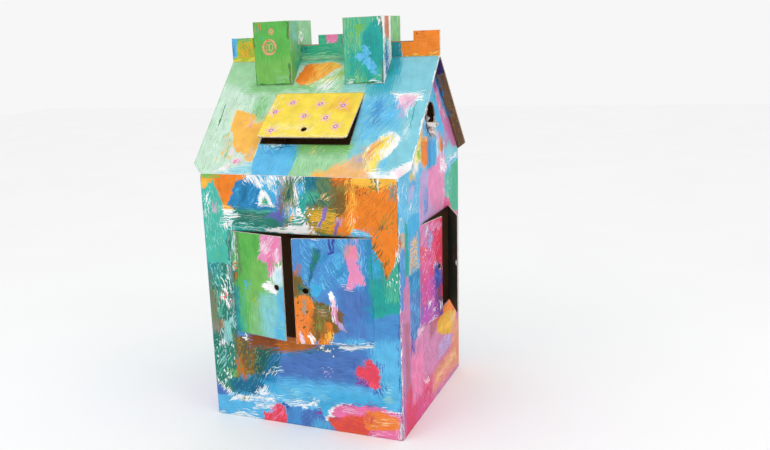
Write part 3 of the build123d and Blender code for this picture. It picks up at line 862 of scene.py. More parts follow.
daubs["right_chimney_front"] = daubs_of("""
jade full up: 0,0 139,217
sage streaky up: 0,90 0,217 90,217 70,90
leaf dry spots: 30,160 32,200 84,204 80,164
sage dry up: 36,0 60,60
teal loaded up: 72,40 64,110 68,160 86,188 112,204 139,202 139,0 100,0
deep teal streaky up: 70,60 70,190 139,200 139,60
teal dry slant: 14,30 80,120
jade dry slant: 96,10 139,60
sky loaded spots: 64,100 67,122 76,128 88,120 93,102 84,94
sky loaded spots: 38,86 40,98 60,106 88,98 86,80 62,76
sky loaded spots: 60,76 78,96 98,84 112,60 114,34 104,30
white worn across: 8,4 10,13 26,13 24,4
white dry across: 96,4 98,15 132,17 132,4
white worn up: 124,196 120,206 130,217 139,217 139,188
shadow green fine across: 28,0 108,9
""")
daubs["right_chimney_right"] = daubs_of("""
white full up: 0,0 172,217
teal worn lean: 12,70 14,150 42,176 46,100
ice worn up: 30,60 34,140 60,150 60,60
terracotta loaded up: 20,168 18,217 54,217 58,150 44,140
salmon streaky up: 20,150 56,217
ocean dry slant: 6,30 10,130 64,140 60,30
navy dry slant: 30,20 32,90 46,90 44,20
white dry lean: 40,60 44,150 70,150 66,60
sage full up: 76,0 172,217
pale green streaky up: 72,0 172,217
""")
# The inner face of the far shutter: its brown board is painted dark all over as painted shade, with some paint over
# that
daubs["side_far_inner"] = daubs_of("""
dark card full up: 0,0 186,357
plum streaky up: 70,120 76,262 150,262 150,120
magenta dry up: 92,130 96,248 136,240 130,136
bottle streaky up: 10,20 170,340
""")
# The underside of the rear roof's overhang: brown card is the board's own colour, and the darker brown streaks over
# it are painted shade
daubs["roof_underside"] = daubs_of("""
brown card full up: 0,0 35,490
dark card streaky up: 0,0 35,490
olive flecks spots: 0,120 35,330
midnight loaded spots: 0,398 0,476 34,478 34,412
ocean dry up: 0,300 10,400
dark card dry up: 16,330 35,400
ocean dry up: 0,200 6,470
""")
# Faces on the far sides of the house: broad plain fields
daubs["left_wall"] = daubs_of("""
sky full up: 0,560 690,1215
light teal worn up: 0,520 0,860 300,860 260,600
turquoise blend slant: 220,860 345,1200 470,860 420,700
jade worn up: 0,0 0,560 330,620 360,0
cornflower worn across: 300,0 310,540 690,600 690,0
rose worn across: 330,60 350,240 640,220 600,80
""")
daubs["back_wall"] = daubs_of("""
cornflower full across: 0,0 700,865
sky worn across: 0,640 0,865 700,865 700,700
jade worn up: 520,0 510,640 700,690 700,0
mauve worn across: 0,0 0,220 160,230 180,0
""")
daubs["back_door"] = daubs_of("""
leaf full up: 0,0 370,600
aqua worn up: 0,0 0,260 370,200 370,0
yellow loaded slant: 90,380 120,470 240,480 260,390 180,340
""")
daubs["rear_roof"] = daubs_of("""
mint full up: 0,0 770,489
turquoise worn up: 0,0 0,489 220,489 260,200 200,0
pale green worn across: 300,40 300,260 560,280 540,60
amber loaded up: 560,200 580,380 690,360 680,190
""")
daubs["rear_strip"] = daubs_of("""
orange full across: 0,0 250,82
sea green loaded across: 240,0 560,82
lime loaded across: 550,0 770,82
""")
daubs["side_far_shutter"] = daubs_of("""
jade full up: 0,0 186,357
sky worn up: 0,0 0,140 186,170 186,0
""")
for side, first, second in (("left", "leaf", "pale green"), ("right", "jade", "teal")):
    daubs[f"{side}_chimney_back"] = daubs_of(f"""
{first} full up: 0,0 139,218
{second} worn up: 0,0 0,90 139,60 139,0
""")
    daubs[f"{side}_chimney_left"] = daubs_of(f"""
{second} full up: 0,0 172,218
{first} worn slant: 0,90 0,218 172,218 172,150
""")


def sides_within(corners, width, height):
    """The sides of a dab, without those that lie wholly beyond one rim of its face."""
    following = np.roll(corners, -1, axis=0)
    size = (width, height)
    beyond = ((corners < 0) & (following < 0)) | ((corners > size) & (following > size))
    return inward_sides(corners)[~beyond.any(axis=1)]


def tone(code):
    """A colour written as red, green and blue in base 16, as the linear light that shaders take."""
    parts = np.array([int(code[i:i + 2], 16) / 255 for i in (1, 3, 5)])
    linear = np.where(parts <= 0.04045, parts / 12.92, ((parts + 0.055) / 1.055) ** 2.4)
    return (*linear, 1.0)


def node(tree, kind, inputs=None, **settings):
    """A node of a shader tree, with its inputs set to values or joined to other nodes' outputs."""
    made = tree.nodes.new(kind)
    for key, value in settings.items():
        setattr(made, key, value)
    for key, value in (inputs or {}).items():
        if isinstance(value, bpy.types.NodeSocket):
            tree.links.new(value, made.inputs[key])
        else:
            made.inputs[key].default_value = value
    return made


def math_node(tree, operation, *inputs, clamp=False):
    """A sum of one, two or three inputs, held between 0 and 1 if clamped."""
    made = node(tree, "ShaderNodeMath", dict(enumerate(inputs)), operation=operation).outputs[0]
    return node(tree, "ShaderNodeClamp", {0: made}).outputs[0] if clamp else made


def vector_node(tree, operation, *values):
    """The vector output of a Vector Math node."""
    return node(tree, "ShaderNodeVectorMath", dict(enumerate(values)), operation=operation).outputs[0]


def mix_node(tree, share, under, over):
    """The output of a colour Mix node."""
    made = node(tree, "ShaderNodeMix", {"Factor": share, 6: under, 7: over}, data_type="RGBA")
    return made.outputs[2]


def noise(tree, place, scale, detail=2.0, rough=0.5):
    """A Noise Texture node on a vector."""
    return node(tree, "ShaderNodeTexNoise", {"Vector": place, "Scale": scale, "Detail": detail, "Roughness": rough})


def scaled(tree, colour, factor):
    """A colour made darker or lighter by a factor."""
    return node(tree, "ShaderNodeVectorMath", {0: colour, "Scale": factor}, operation="SCALE").outputs[0]


def new_material(name):
    """A new material, its shader tree and the tree's main shader."""
    material = bpy.data.materials.new(name)
    material.use_nodes = True
    return material, material.node_tree, material.node_tree.nodes["Principled BSDF"]


def raise_surface(tree, shader, height, strength, depth):
    """Leads a height to the shader's normal, as a bump of some strength and depth in metres."""
    bump = node(tree, "ShaderNodeBump", {"Strength": strength, "Distance": depth, "Height": height})
    tree.links.new(bump.outputs[0], shader.inputs["Normal"])


def new_group(name, inputs, outputs):
    """An empty shader node group with named sockets, and its input and output nodes."""
    group = bpy.data.node_groups.new(name, "ShaderNodeTree")
    for in_out, sockets in (("INPUT", inputs), ("OUTPUT", outputs)):
        for socket, kind in sockets.items():
            group.interface.new_socket(name=socket, in_out=in_out, socket_type="NodeSocket" + kind)
    return group, group.nodes.new("NodeGroupInput").outputs, group.nodes.new("NodeGroupOutput").inputs


daub_groups = {}


def daub_group(sides):
    """A dab of paint with some number of straight sides.

    The way inside the outline is the least of the ways inside its sides, and at most Deep. Bristles shift it
    by Ragged times how far the grain stands over a half and the dryness, and the paint covers where the sum
    is above zero. Body covers what lies under, and the glaze tints it as far as the grain stands.
    """
    if sides in daub_groups:
        return daub_groups[sides]
    inputs = {"Under": "Color", "Place": "Vector", "Grain": "Float", "Body": "Color", "Glaze": "Color",
              "Ragged": "Float", "Soft": "Float", "Dry": "Float", "Deep": "Float"}
    inputs.update({f"Side {k}": "Vector" for k in range(sides)})
    group, given, out = new_group(f"daub with {sides} sides", inputs, {"Color": "Color"})
    inside = given["Deep"]
    for k in range(sides):
        dot = node(group, "ShaderNodeVectorMath", {0: given["Place"], 1: given[f"Side {k}"]},
                   operation="DOT_PRODUCT").outputs["Value"]
        inside = math_node(group, "MINIMUM", inside, dot)
    limit = math_node(group, "MULTIPLY", math_node(group, "ADD", given["Dry"], 0.5), given["Ragged"])
    shifted = math_node(group, "MULTIPLY_ADD", given["Grain"], given["Ragged"], inside)
    shifted = math_node(group, "SUBTRACT", shifted, limit)
    cover = math_node(group, "ADD", math_node(group, "DIVIDE", shifted, given["Soft"]), 0.5)
    cover = math_node(group, "MINIMUM", cover, 1.0)
    bodied = mix_node(group, cover, given["Under"], given["Body"])
    tint = math_node(group, "MULTIPLY", cover, given["Grain"])
    group.links.new(mix_node(group, tint, bodied, given["Glaze"]), out["Color"])
    daub_groups[sides] = group
    return group


def card_group():
    """White liner paper: faint fibres, and faint ribs where the flutes beneath show through it."""
    group, given, out = new_group("card liner", {"Place": "Vector", "Liner": "Color"},
                                  {"Color": "Color", "Height": "Float"})
    fibres = noise(group, given["Place"], 420.0, 3.0).outputs["Fac"]
    across = node(group, "ShaderNodeSeparateXYZ", {0: given["Place"]}).outputs[0]
    ribs = math_node(group, "SINE", math_node(group, "MULTIPLY", across, 2 * math.pi / FLUTE_PITCH))
    darker = scaled(group, given["Liner"], 0.93)
    group.links.new(mix_node(group, fibres, darker, given["Liner"]), out["Color"])
    height = math_node(group, "MULTIPLY_ADD", ribs, 0.10, math_node(group, "MULTIPLY", fibres, 0.25))
    group.links.new(height, out["Height"])
    return group


card_liner = card_group()
WARPS = ((16.0, 0.011), (60.0, 0.005))  # how many turns a metre, and how far in metres, outlines wander
BEND, BEND_TURNS = 0.055, 4.5  # how far in metres the bristle marks are drawn aside, and how many turns a metre
BRISTLE_GAIN, BRISTLE_START = 3.2, -1.1  # these draw the noise apart into marks that stand and gaps between them
CLOUD_TURNS, CLOUD_GAIN, CLOUD_BASE = 26.0, 0.5, 0.69  # the faint clouds of lighter and darker paint
SHEEN_GAIN, SHEEN_BASE = 0.22, 0.5  # the roughness of the paint, on its marks and between them
# How far each run of bristle marks is turned, and how long and how wide its marks are
GRAINS = {"up": (0.0, 3.3, 55.0), "across": (0.0, 55.0, 3.4), "slant": (1.0, 42.0, 3.6), "lean": (-1.1, 42.0, 3.6),
          "tufts": (0.15, 6.6, 25.0), "spots": (0.7, 14.0, 10.5)}


def paint_material(name):
    """The paint of one face: white card, then each dab over the last, with bristle marks in its surface."""
    material, tree, shader = new_material(name + "_paint")
    flat = node(tree, "ShaderNodeUVMap", uv_map="face").outputs[0]
    place = flat
    for scale, reach in WARPS:
        wander = noise(tree, flat, scale).outputs["Color"]
        place = vector_node(tree, "MULTIPLY_ADD", wander, (2 * reach, 2 * reach, 0.0), place)
    # The bent place comes first and the shift after it, so that few values are held at once when it renders
    bent = noise(tree, flat, BEND_TURNS, 1.0).outputs["Color"]
    bent = vector_node(tree, "MULTIPLY_ADD", bent, (BEND, BEND, 0.0), place)
    drawn = -sum(reach for _, reach in WARPS)
    place = node(tree, "ShaderNodeMapping", {"Vector": place, "Location": (drawn, drawn, 0.0)}).outputs[0]
    place = vector_node(tree, "ADD", place, (0.0, 0.0, 1.0))
    grains = {}
    for grain in sorted({one.grain for one in daubs[name]} | {"up"}):
        turn, length, width = GRAINS[grain]
        turned = node(tree, "ShaderNodeMapping", {"Vector": bent, "Rotation": (0.0, 0.0, turn),
                                                  "Scale": (length * MM, width * MM, 1.0)}, vector_type="TEXTURE")
        streaks = noise(tree, turned.outputs[0], 1.0, 3.0, 0.6).outputs["Fac"]
        grains[grain] = math_node(tree, "MULTIPLY_ADD", streaks, BRISTLE_GAIN, BRISTLE_START, clamp=True)
    liner = node(tree, "ShaderNodeGroup", {"Place": flat, "Liner": tone("#F3F3EF")}, node_tree=card_liner)
    colour = liner.outputs["Color"]
    face = panels[name]
    for one in daubs[name]:
        brush = brushes[one.brush]
        body, glaze = paints[one.paint]
        sides = sides_within(pushed_over(one.corners, face.width, face.height), face.width, face.height)
        values = {"Under": colour, "Place": place, "Grain": grains[one.grain], "Body": tone(body),
                  "Glaze": tone(glaze), "Ragged": brush.ragged, "Soft": brush.soft, "Dry": brush.dry,
                  "Deep": brush.deep, **{f"Side {k}": tuple(side) for k, side in enumerate(sides)}}
        colour = node(tree, "ShaderNodeGroup", values, node_tree=daub_group(len(sides))).outputs["Color"]
    clouds = noise(tree, flat, CLOUD_TURNS, 3.0).outputs["Fac"]
    shade = math_node(tree, "MULTIPLY_ADD", clouds, CLOUD_GAIN, CLOUD_BASE)
    tree.links.new(scaled(tree, colour, shade), shader.inputs["Base Color"])
    sheen = math_node(tree, "MULTIPLY_ADD", grains["up"], SHEEN_GAIN, SHEEN_BASE)
    tree.links.new(sheen, shader.inputs["Roughness"])
    shader.inputs["Specular IOR Level"].default_value = 0.25
    bristles = math_node(tree, "MULTIPLY_ADD", grains["up"], 0.6, liner.outputs["Height"])
    raise_surface(tree, shader, bristles, 0.35, 0.5 * MM)
    return material


def grid_lines(length, cell, stops):
    """Lines from 0 to a length, about a cell apart, with one at each stop."""
    marks = sorted({0.0, length, *(float(stop) for stop in stops if 0 < stop < length)})
    parts = [np.linspace(a, b, 2 + int((b - a) / cell))[:-1] for a, b in zip(marks, marks[1:])]
    return np.concatenate(parts + [[length]])


def wobble(along, seed):
    """A smooth uneven line between 0 and 1: the mean of three sines of unlike length."""
    waves = [np.sin(along * turns + seed * (k + 1.7)) for k, turns in enumerate((37.0, 93.0, 211.0))]
    return 0.5 + sum(waves) / 6


def new_mesh(name, points, faces, uv=None):
    """A mesh object at the origin, from an array of points and an array of faces, with a flat map if given."""
    mesh = bpy.data.meshes.new(name)
    mesh.from_pydata(points.tolist(), [], faces.tolist())
    if uv is not None:
        layer = mesh.uv_layers.new(name="face")
        layer.data.foreach_set("uv", uv[faces.ravel()].astype(np.float32).ravel())
    mesh.polygons.foreach_set("use_smooth", np.ones(len(faces), bool))
    piece = bpy.data.objects.new(name, mesh)
    bpy.context.scene.collection.objects.link(piece)
    return piece


TRIM, FOLD_TRIM = 0.5 * MM, 4.2 * MM  # how far paint stays back from a cut edge and from a folded corner, at most
COAT, COAT_BELOW = 0.18 * MM, 0.1 * MM  # the coat's thickness over the board, and how far it reaches into it
EAVE_LEAN = 0.405  # how far the crease at the eave leans back for each length up
NEAR_CELL, FAR_CELL, CHIMNEY_CELL = 6 * MM, 14 * MM, 5 * MM  # cells of the grids
ROUND_BAND, EAVE_BAND, PITCH_BAND, GABLE_BAND = 0.020, 0.045, 0.095, 12 * MM  # rows squeezed at shaped ends


def painted_face(name, slot, cell=NEAR_CELL, cuts=(), rounds=(), foot=None, head=None, levels=(0.0, None), fold=0.0,
                 eave=False):
    """The coat of paint on one flat face, a thin skin that stands a little proud of the board.

    The skin is a grid in the face's own (across, up). Rows below the first level are squeezed up to the
    foot's line, rows above the second are squeezed under the head's line, and its rim wanders by a
    millimetre. Cells inside a cut are left out. Round a hole the inner corners of the kept cells move out
    onto its rim. Over a folded side the skin sinks by the fold less the distance from that side, and over
    an eave it leans back with the crease. Its height over the board is the coat's thickness plus the
    relief of the dabs.
    """
    face = panels[name]
    columns = [x for left, right, *_ in cuts for x in (left, right)]
    rows = [z for *_, low, high in cuts for z in (low, high)] + [height for height in levels if height]
    if fold:
        columns += [fold, face.width - fold]
    if eave:
        rows.append(WALL_HEIGHT - CREASE_BEVEL)
    for centre_x, centre_z, radius in rounds:
        columns += list(centre_x + radius * np.linspace(-1.2, 1.2, 9))
        rows += list(centre_z + radius * np.linspace(-1.2, 1.2, 9))
    across, up = np.meshgrid(grid_lines(face.width, cell, columns), grid_lines(face.height, cell, rows))
    seed = sum(map(ord, name)) % 17
    if foot is not None:
        start = foot(across)
        squeezed = start + up / levels[0] * (levels[0] - start)
        up = np.where(up < levels[0], squeezed, up)
    if head is not None:
        end = head(across)
        squeezed = levels[1] + (up - levels[1]) / (face.height - levels[1]) * (end - levels[1])
        up = np.where(up > levels[1], squeezed, up)
    side_trim = (0.5 + 0.4 * wobble(up[:, 0], seed)) * min(FOLD_TRIM, 0.7 * fold)
    side_trim = side_trim + TRIM * wobble(up[:, 0], seed + 1)
    across[:, 0] += side_trim
    across[:, -1] -= side_trim[::-1]
    up[0] += TRIM * (0.2 + wobble(across[0], seed + 2))
    up[-1] -= TRIM * (0.4 + wobble(across[-1], seed + 3))
    keep = np.ones((across.shape[0] - 1, across.shape[1] - 1), bool)
    middle_across = (across[:-1, :-1] + across[1:, 1:]) / 2
    middle_up = (up[:-1, :-1] + up[1:, 1:]) / 2
    for left, right, low, high in cuts:
        keep &= ~((middle_across > left) & (middle_across < right) & (middle_up > low) & (middle_up < high))
    for centre_x, centre_z, radius in rounds:
        away = np.hypot(across - centre_x, up - centre_z)
        inside = away < radius
        keep &= ~(inside[:-1, :-1] & inside[1:, :-1] & inside[:-1, 1:] & inside[1:, 1:])
        push = np.where(inside, radius / np.maximum(away, 1e-6), 1.0)
        across, up = centre_x + (across - centre_x) * push, centre_z + (up - centre_z) * push
    relief = np.zeros_like(across)
    for one in daubs[name]:
        ways = [across * x + up * z + c for x, z, c in inward_sides(one.corners)]
        cover = np.clip(np.min(ways, axis=0) / (6 * MM) + 0.5, 0, 1) * (1 - 2 * brushes[one.brush].dry)
        relief = relief * (1 - cover) + cover * (0.35 + 0.65 * wobble(across * 0.9 + up * 0.4, len(one.corners)))
    sunk = np.maximum(0, fold - np.minimum(across, face.width - across))
    if eave:
        sunk = sunk + EAVE_LEAN * np.maximum(0, up - (WALL_HEIGHT - CREASE_BEVEL))
    normal = np.cross(face.across, face.up)
    lift = COAT + relief * COAT - sunk
    points = (face.origin + across[..., None] * face.across + up[..., None] * face.up + lift[..., None] * normal)
    index = np.arange(across.size).reshape(across.shape)
    faces = np.stack([index[:-1, :-1], index[:-1, 1:], index[1:, 1:], index[1:, :-1]], axis=-1)[keep]
    used, renumbered = np.unique(faces, return_inverse=True)
    uv = np.stack([across, up], axis=-1).reshape(-1, 2)[used]
    piece = new_mesh(name + "_paint", points.reshape(-1, 3)[used], renumbered.reshape(-1, 4), uv)
    solid = piece.modifiers.new("coat", "SOLIDIFY")
    solid.thickness = COAT + COAT_BELOW
    solid.offset = -1.0
    piece.data.materials.append(paint_material(name))
    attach(piece, "root")
    return piece


def gable_head(across):
    """The underside of the roof over a gable: it climbs from both walls to the ridge."""
    return WALL_HEIGHT - 7 * MM + SLOPE * np.minimum(across, WALL_DEPTH - across)


def roof_foot(across):
    """The roof's lower edge: the eave crease, with corners cut away at 45 degrees beyond its ends."""
    return np.maximum(CREASE_BEVEL, np.maximum(OVERHANG + CORNER_BEVEL - across,
                                               across - (STRIP_LENGTH - OVERHANG - CORNER_BEVEL)))


def underside_foot(across):
    """The lower edge of the roof's underside beyond the wall, where its corner is cut away."""
    return across + CORNER_BEVEL


def chimney_foot(across):
    """The foot of a chimney's side panel, cut to the roof's pitch from both sides to the ridge."""
    return SLOPE * np.minimum(across, CHIMNEY_DEPTH - across) + 1 * MM


def level_foot(across):
    """The foot of a chimney's front or back panel, cut square a little above the roof."""
    return np.full_like(across, BOARD * SLOPE + 0.6 * MM)


def rounded(radius, from_left, from_right):
    """How far a rounded corner stands in from an edge: the radius less the height of the circle there."""
    near = np.clip(radius - np.minimum(from_left, from_right), 0, radius)
    return radius - np.sqrt(radius ** 2 - near ** 2)


def rounded_flap(width, height, radius, left=False, right=False):
    """The foot and head lines of an upright flap whose free corners, on one side or the other, are rounded."""
    far = 2 * width
    inset = lambda across: rounded(radius, across if left else far, width - across if right else far)
    return {"foot": inset, "head": lambda across: height - inset(across),
            "levels": (ROUND_BAND, height - ROUND_BAND)}


finger_z = FINGER_HEIGHT - shutter_z
front_cuts = [(*FRONT_WINDOW, SILL, SILL + WINDOW_HEIGHT), (0, NOTCH_WIDTH, NOTCH_FOOT, 1),
              (WALL_WIDTH - NOTCH_WIDTH, WALL_WIDTH, NOTCH_FOOT, 1)]
side_cut = (*SIDE_WINDOW, SILL, SILL + WINDOW_HEIGHT)
door_cut = (WALL_WIDTH - DOOR_LEFT - DOOR_WIDTH, WALL_WIDTH - DOOR_LEFT, DOOR_THRESHOLD,
            DOOR_THRESHOLD + DOOR_HEIGHT)
sky_left = (STRIP_LENGTH - SKYLIGHT_WIDTH) / 2 - SHUTTER_LIFT
sky_cut = (sky_left, STRIP_LENGTH - sky_left, SKYLIGHT_FROM_EAVE - SHUTTER_LIFT,
           SKYLIGHT_FROM_EAVE + SKYLIGHT_LENGTH)
gable = {"head": gable_head, "levels": (0, WALL_HEIGHT - GABLE_BAND)}
above_eave = (EAVE_BAND, None)
painted_face("front_wall", "house_board", cuts=front_cuts, fold=CORNER_BEVEL, eave=True)
painted_face("right_wall", "house_board", cuts=[side_cut], fold=CORNER_BEVEL, **gable,
             rounds=[(RIDGE_Y, WALL_HEIGHT + GABLE_HOLE_RISE, GABLE_HOLE_RADIUS)])
painted_face("left_wall", "house_board", FAR_CELL, fold=CORNER_BEVEL, **gable)
painted_face("back_wall", "house_board", FAR_CELL, cuts=[door_cut], fold=CORNER_BEVEL)
painted_face("front_roof", "house_board", cuts=[sky_cut], foot=roof_foot, levels=above_eave)
painted_face("rear_roof", "house_board", FAR_CELL, foot=roof_foot, levels=above_eave)
painted_face("roof_underside", "house_board", foot=underside_foot, levels=above_eave)
for name, rise in (("front_strip", 0), ("rear_strip", REAR_RISE)):
    crenel_floor = STRIP_HEIGHT - CRENEL_DEPTH + rise
    painted_face(name, "house_board", cuts=[(start, start + CRENEL, crenel_floor, STRIP_HEIGHT)
                                            for start in (MERLON, 2 * MERLON + CRENEL)])
for name, width, hinge_left, window in (("front_left_shutter", FRONT_LEFT, True, "front_left"),
                                        ("front_right_shutter", FRONT_RIGHT, False, "front_right"),
                                        ("side_near_shutter", SIDE_NEAR, True, "side"),
                                        ("side_far_shutter", SIDE_FAR, False, "side"),
                                        ("side_far_inner", SIDE_FAR, True, "side")):
    finger = width - FINGER_FROM_EDGE[window] if hinge_left else FINGER_FROM_EDGE[window]
    painted_face(name, "house_board", rounds=[(finger, finger_z, FINGER_RADIUS)],
                 **rounded_flap(width, SHUTTER_HEIGHT, SHUTTER_ROUND, left=not hinge_left, right=hinge_left))
painted_face("skylight", "house_board", levels=(ROUND_BAND, None),
             rounds=[(SKYLIGHT_WIDTH / 2, FINGER_FROM_EDGE["skylight"], FINGER_RADIUS)],
             foot=lambda across: rounded(SKYLIGHT_ROUND, across, SKYLIGHT_WIDTH - across))
painted_face("back_door", "house_board", FAR_CELL,
             rounds=[(FINGER_FROM_EDGE["door"], DOOR_FINGER_HEIGHT, FINGER_RADIUS)],
             **rounded_flap(DOOR_WIDTH, DOOR_HEIGHT - 2 * SHUTTER_LIFT, DOOR_ROUND, left=True))
slot_cut = (CHIMNEY_DEPTH / 2 - SLOT_HALF, CHIMNEY_DEPTH / 2 + SLOT_HALF, 0.0,
            RIDGE_Z + STRIP_HEIGHT - CRENEL_DEPTH + REAR_RISE + 0.5 * MM - CHIMNEY_FOOT)
tie_top = CHIMNEY_HEIGHT - TIE_FROM_TOP
slit_cuts = [(CHIMNEY_WIDTH - BOARD - CORNER_SLIT, CHIMNEY_WIDTH - BOARD, low, high)
             for low, high in ((0.0, tie_top - TIE_LENGTH), (tie_top, CHIMNEY_HEIGHT))]
for side in ("left", "right"):
    for face, cuts, foot, band in (("front", slit_cuts, level_foot, ROUND_BAND),
                                   ("back", (), level_foot, ROUND_BAND),
                                   ("right", [slot_cut], chimney_foot, PITCH_BAND),
                                   ("left", [slot_cut], chimney_foot, PITCH_BAND)):
        painted_face(f"{side}_chimney_{face}", f"{side}_chimney_board", CHIMNEY_CELL, cuts=cuts, foot=foot,
                     levels=(band, None))


def two_tone_material(name, first, second, scales, roughness):
    """Two colours mixed by noise that is stretched over the piece's flat map, which also roughens the surface."""
    material, tree, shader = new_material(name)
    flat = node(tree, "ShaderNodeUVMap", uv_map="face").outputs[0]
    stretched = node(tree, "ShaderNodeMapping", {"Vector": flat, "Scale": scales}).outputs[0]
    fibres = noise(tree, stretched, 1.0, 3.0, 0.6).outputs["Fac"]
    share = math_node(tree, "MULTIPLY_ADD", fibres, 3.4, -1.2, clamp=True)
    tree.links.new(mix_node(tree, share, tone(first), tone(second)), shader.inputs["Base Color"])
    shader.inputs["Roughness"].default_value = roughness
    shader.inputs["Specular IOR Level"].default_value = 0.3
    raise_surface(tree, shader, fibres, 0.3, 0.3 * MM)
    return material


def bar(path, side, rise, section, closed=False):
    """Points and faces of a bar: a section of eight corners set at each station of a path.

    At a station the corner (a, b) of the section lies at path + a·side + b·rise, where side and rise are
    given at each station, so they hold the bar's width and height there.
    """
    points = path[:, None] + section[None, :, :1] * side[:, None] + section[None, :, 1:] * rise[:, None]
    count = len(path)
    index = np.arange(count * 8).reshape(count, 8)
    ahead = np.roll(index, -1, axis=0) if closed else index[1:]
    here = index if closed else index[:-1]
    faces = np.stack([here, np.roll(here, -1, axis=1), np.roll(ahead, -1, axis=1), ahead], axis=-1).reshape(-1, 4)
    if not closed:
        caps = np.array([(0, 3, 2, 1), (0, 7, 4, 3), (7, 6, 5, 4)])
        faces = np.concatenate([faces, caps, caps[:, ::-1] + (count - 1) * 8])
    return points.reshape(-1, 3), faces


def joined_piece(name, bars, material):
    """One piece of many bars, its flat map holding how far along and across each point lies."""
    starts = np.cumsum([0] + [len(points) for points, _ in bars])
    points = np.concatenate([points for points, _ in bars])
    faces = np.concatenate([faces + start for (_, faces), start in zip(bars, starts)])
    piece = new_mesh(name, points, faces, points[:, [0, 2]] + points[:, [1, 1]])
    piece.data.materials.append(material)
    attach(piece, "root")
    return piece


BEAD_ARC = np.linspace(0, math.pi, 6)
BEAD = np.concatenate([np.column_stack([np.cos(BEAD_ARC), np.sin(BEAD_ARC)]), [(-1, -0.4), (1, -0.4)]])


def bead(face_name, path, half_width, height, closed=False):
    """Thick paint pulled along a path on a face: half an ellipse across it.

    An open bead tapers to both ends as the fourth root of 1 - (2t - 1)^4, t being the share of its length.
    """
    face = panels[face_name]
    ahead = np.roll(path, -1, axis=0) - np.roll(path, 1, axis=0) if closed else np.gradient(path, axis=0)
    ahead /= np.linalg.norm(ahead, axis=1)[:, None]
    share = np.zeros(len(path)) if closed else np.linspace(-0.999, 0.999, len(path))
    taper = ((1 - share ** 4) ** 0.25)[:, None]
    normal = np.cross(face.across, face.up)
    in_space = lambda flat: flat[:, :1] * face.across + flat[:, 1:] * face.up
    middle = face.origin + in_space(path) + 1.4 * COAT * normal
    side = in_space(np.column_stack([ahead[:, 1], -ahead[:, 0]])) * half_width * taper
    return bar(middle, side, normal * height * taper, BEAD, closed)


def loop(centre, radius, squash=1.0, waver=0.05, seed=0.0, turns=40):
    """A hand-drawn ring: a circle whose radius wavers by a small share, squashed across."""
    angle = np.linspace(0, 2 * math.pi, turns, endpoint=False)
    reach = radius * (1 + waver * np.sin(2 * angle + seed) + 0.6 * waver * np.sin(5 * angle + 2 * seed))
    return centre + np.column_stack([squash * reach * np.cos(angle), reach * np.sin(angle)])


def ray(centre, angle, start, end, bend=0.0):
    """A path outwards from a centre, which turns by the bend on its way."""
    reach = np.linspace(start, end, 9)
    turned = angle + bend * (reach - start) / (end - start)
    return centre + np.column_stack([reach * np.cos(turned), reach * np.sin(turned)])


def flower_petals(k, centre):
    """The twelve petals of flower k on the skylight.

    Petal p points at p twelfths of a turn plus 0.16·sin(7k + 3.1p), bends by 0.12 on its way and ends
    23 mm + 6 mm·sin(2.3p + 1.9k) from the centre.
    """
    beads = []
    for petal in range(12):
        angle = petal * math.pi / 6 + 0.16 * math.sin(7.0 * k + 3.1 * petal)
        end = (23 + 6 * math.sin(2.3 * petal + 1.9 * k)) * MM
        beads.append(bead("skylight", ray(centre, angle, 7 * MM, end, 0.12), 1.5 * MM, 0.55 * MM))
    return beads


def finger_hole_rays():
    """The fourteen short strokes round the skylight's finger hole.

    Stroke p points at p fourteenths of a turn plus 0.1·sin(5p), and ends 19 mm + 3 mm·sin(2p) from its centre.
    """
    centre = (SKYLIGHT_WIDTH / 2, FINGER_FROM_EDGE["skylight"])
    beads = []
    for stroke in range(14):
        angle = stroke * math.pi / 7 + 0.1 * math.sin(5.0 * stroke)
        end = (19 + 3 * math.sin(2.0 * stroke)) * MM
        beads.append(bead("skylight", ray(centre, angle, 13 * MM, end), 0.9 * MM, 0.4 * MM))
    return beads


# Where the flowers stand on the skylight, in mm across and up
FLOWERS = np.array([(75, 164), (180, 157), (263, 149), (25, 119), (140, 100), (220, 90), (268, 50), (43, 30)]) * MM
petals = [one for k, centre in enumerate(FLOWERS) for one in flower_petals(k, centre)] + finger_hole_rays()
rings = [bead("skylight", loop(centre, 6.0 * MM, waver=0.09, seed=k), 2.4 * MM, 0.9 * MM, closed=True)
         for k, centre in enumerate(FLOWERS)]
hearts = [bead("skylight", loop(centre, 1.3 * MM, turns=12), 1.2 * MM, 0.8 * MM, closed=True) for centre in FLOWERS]
petal_scales, ring_scales = (160.0, 160.0, 1.0), (110.0, 110.0, 1.0)
PAINT_ROUGHNESS, CARD_ROUGHNESS = 0.5, 0.85
for part, bars, first, second, scales in (("petal", petals, "#EE8EA8", "#FCDCE0", petal_scales),
                                          ("ring", rings, "#A464BE", "#CC9AD8", ring_scales),
                                          ("heart", hearts, "#F2D8EC", "#FFFFFF", ring_scales)):
    joined_piece(f"flower_{part}s", bars,
                 two_tone_material(part, first, second, scales, PAINT_ROUGHNESS))

RING_CENTRE, SMALL_RING = np.array((58, 132)) * MM, np.array((68, 184)) * MM
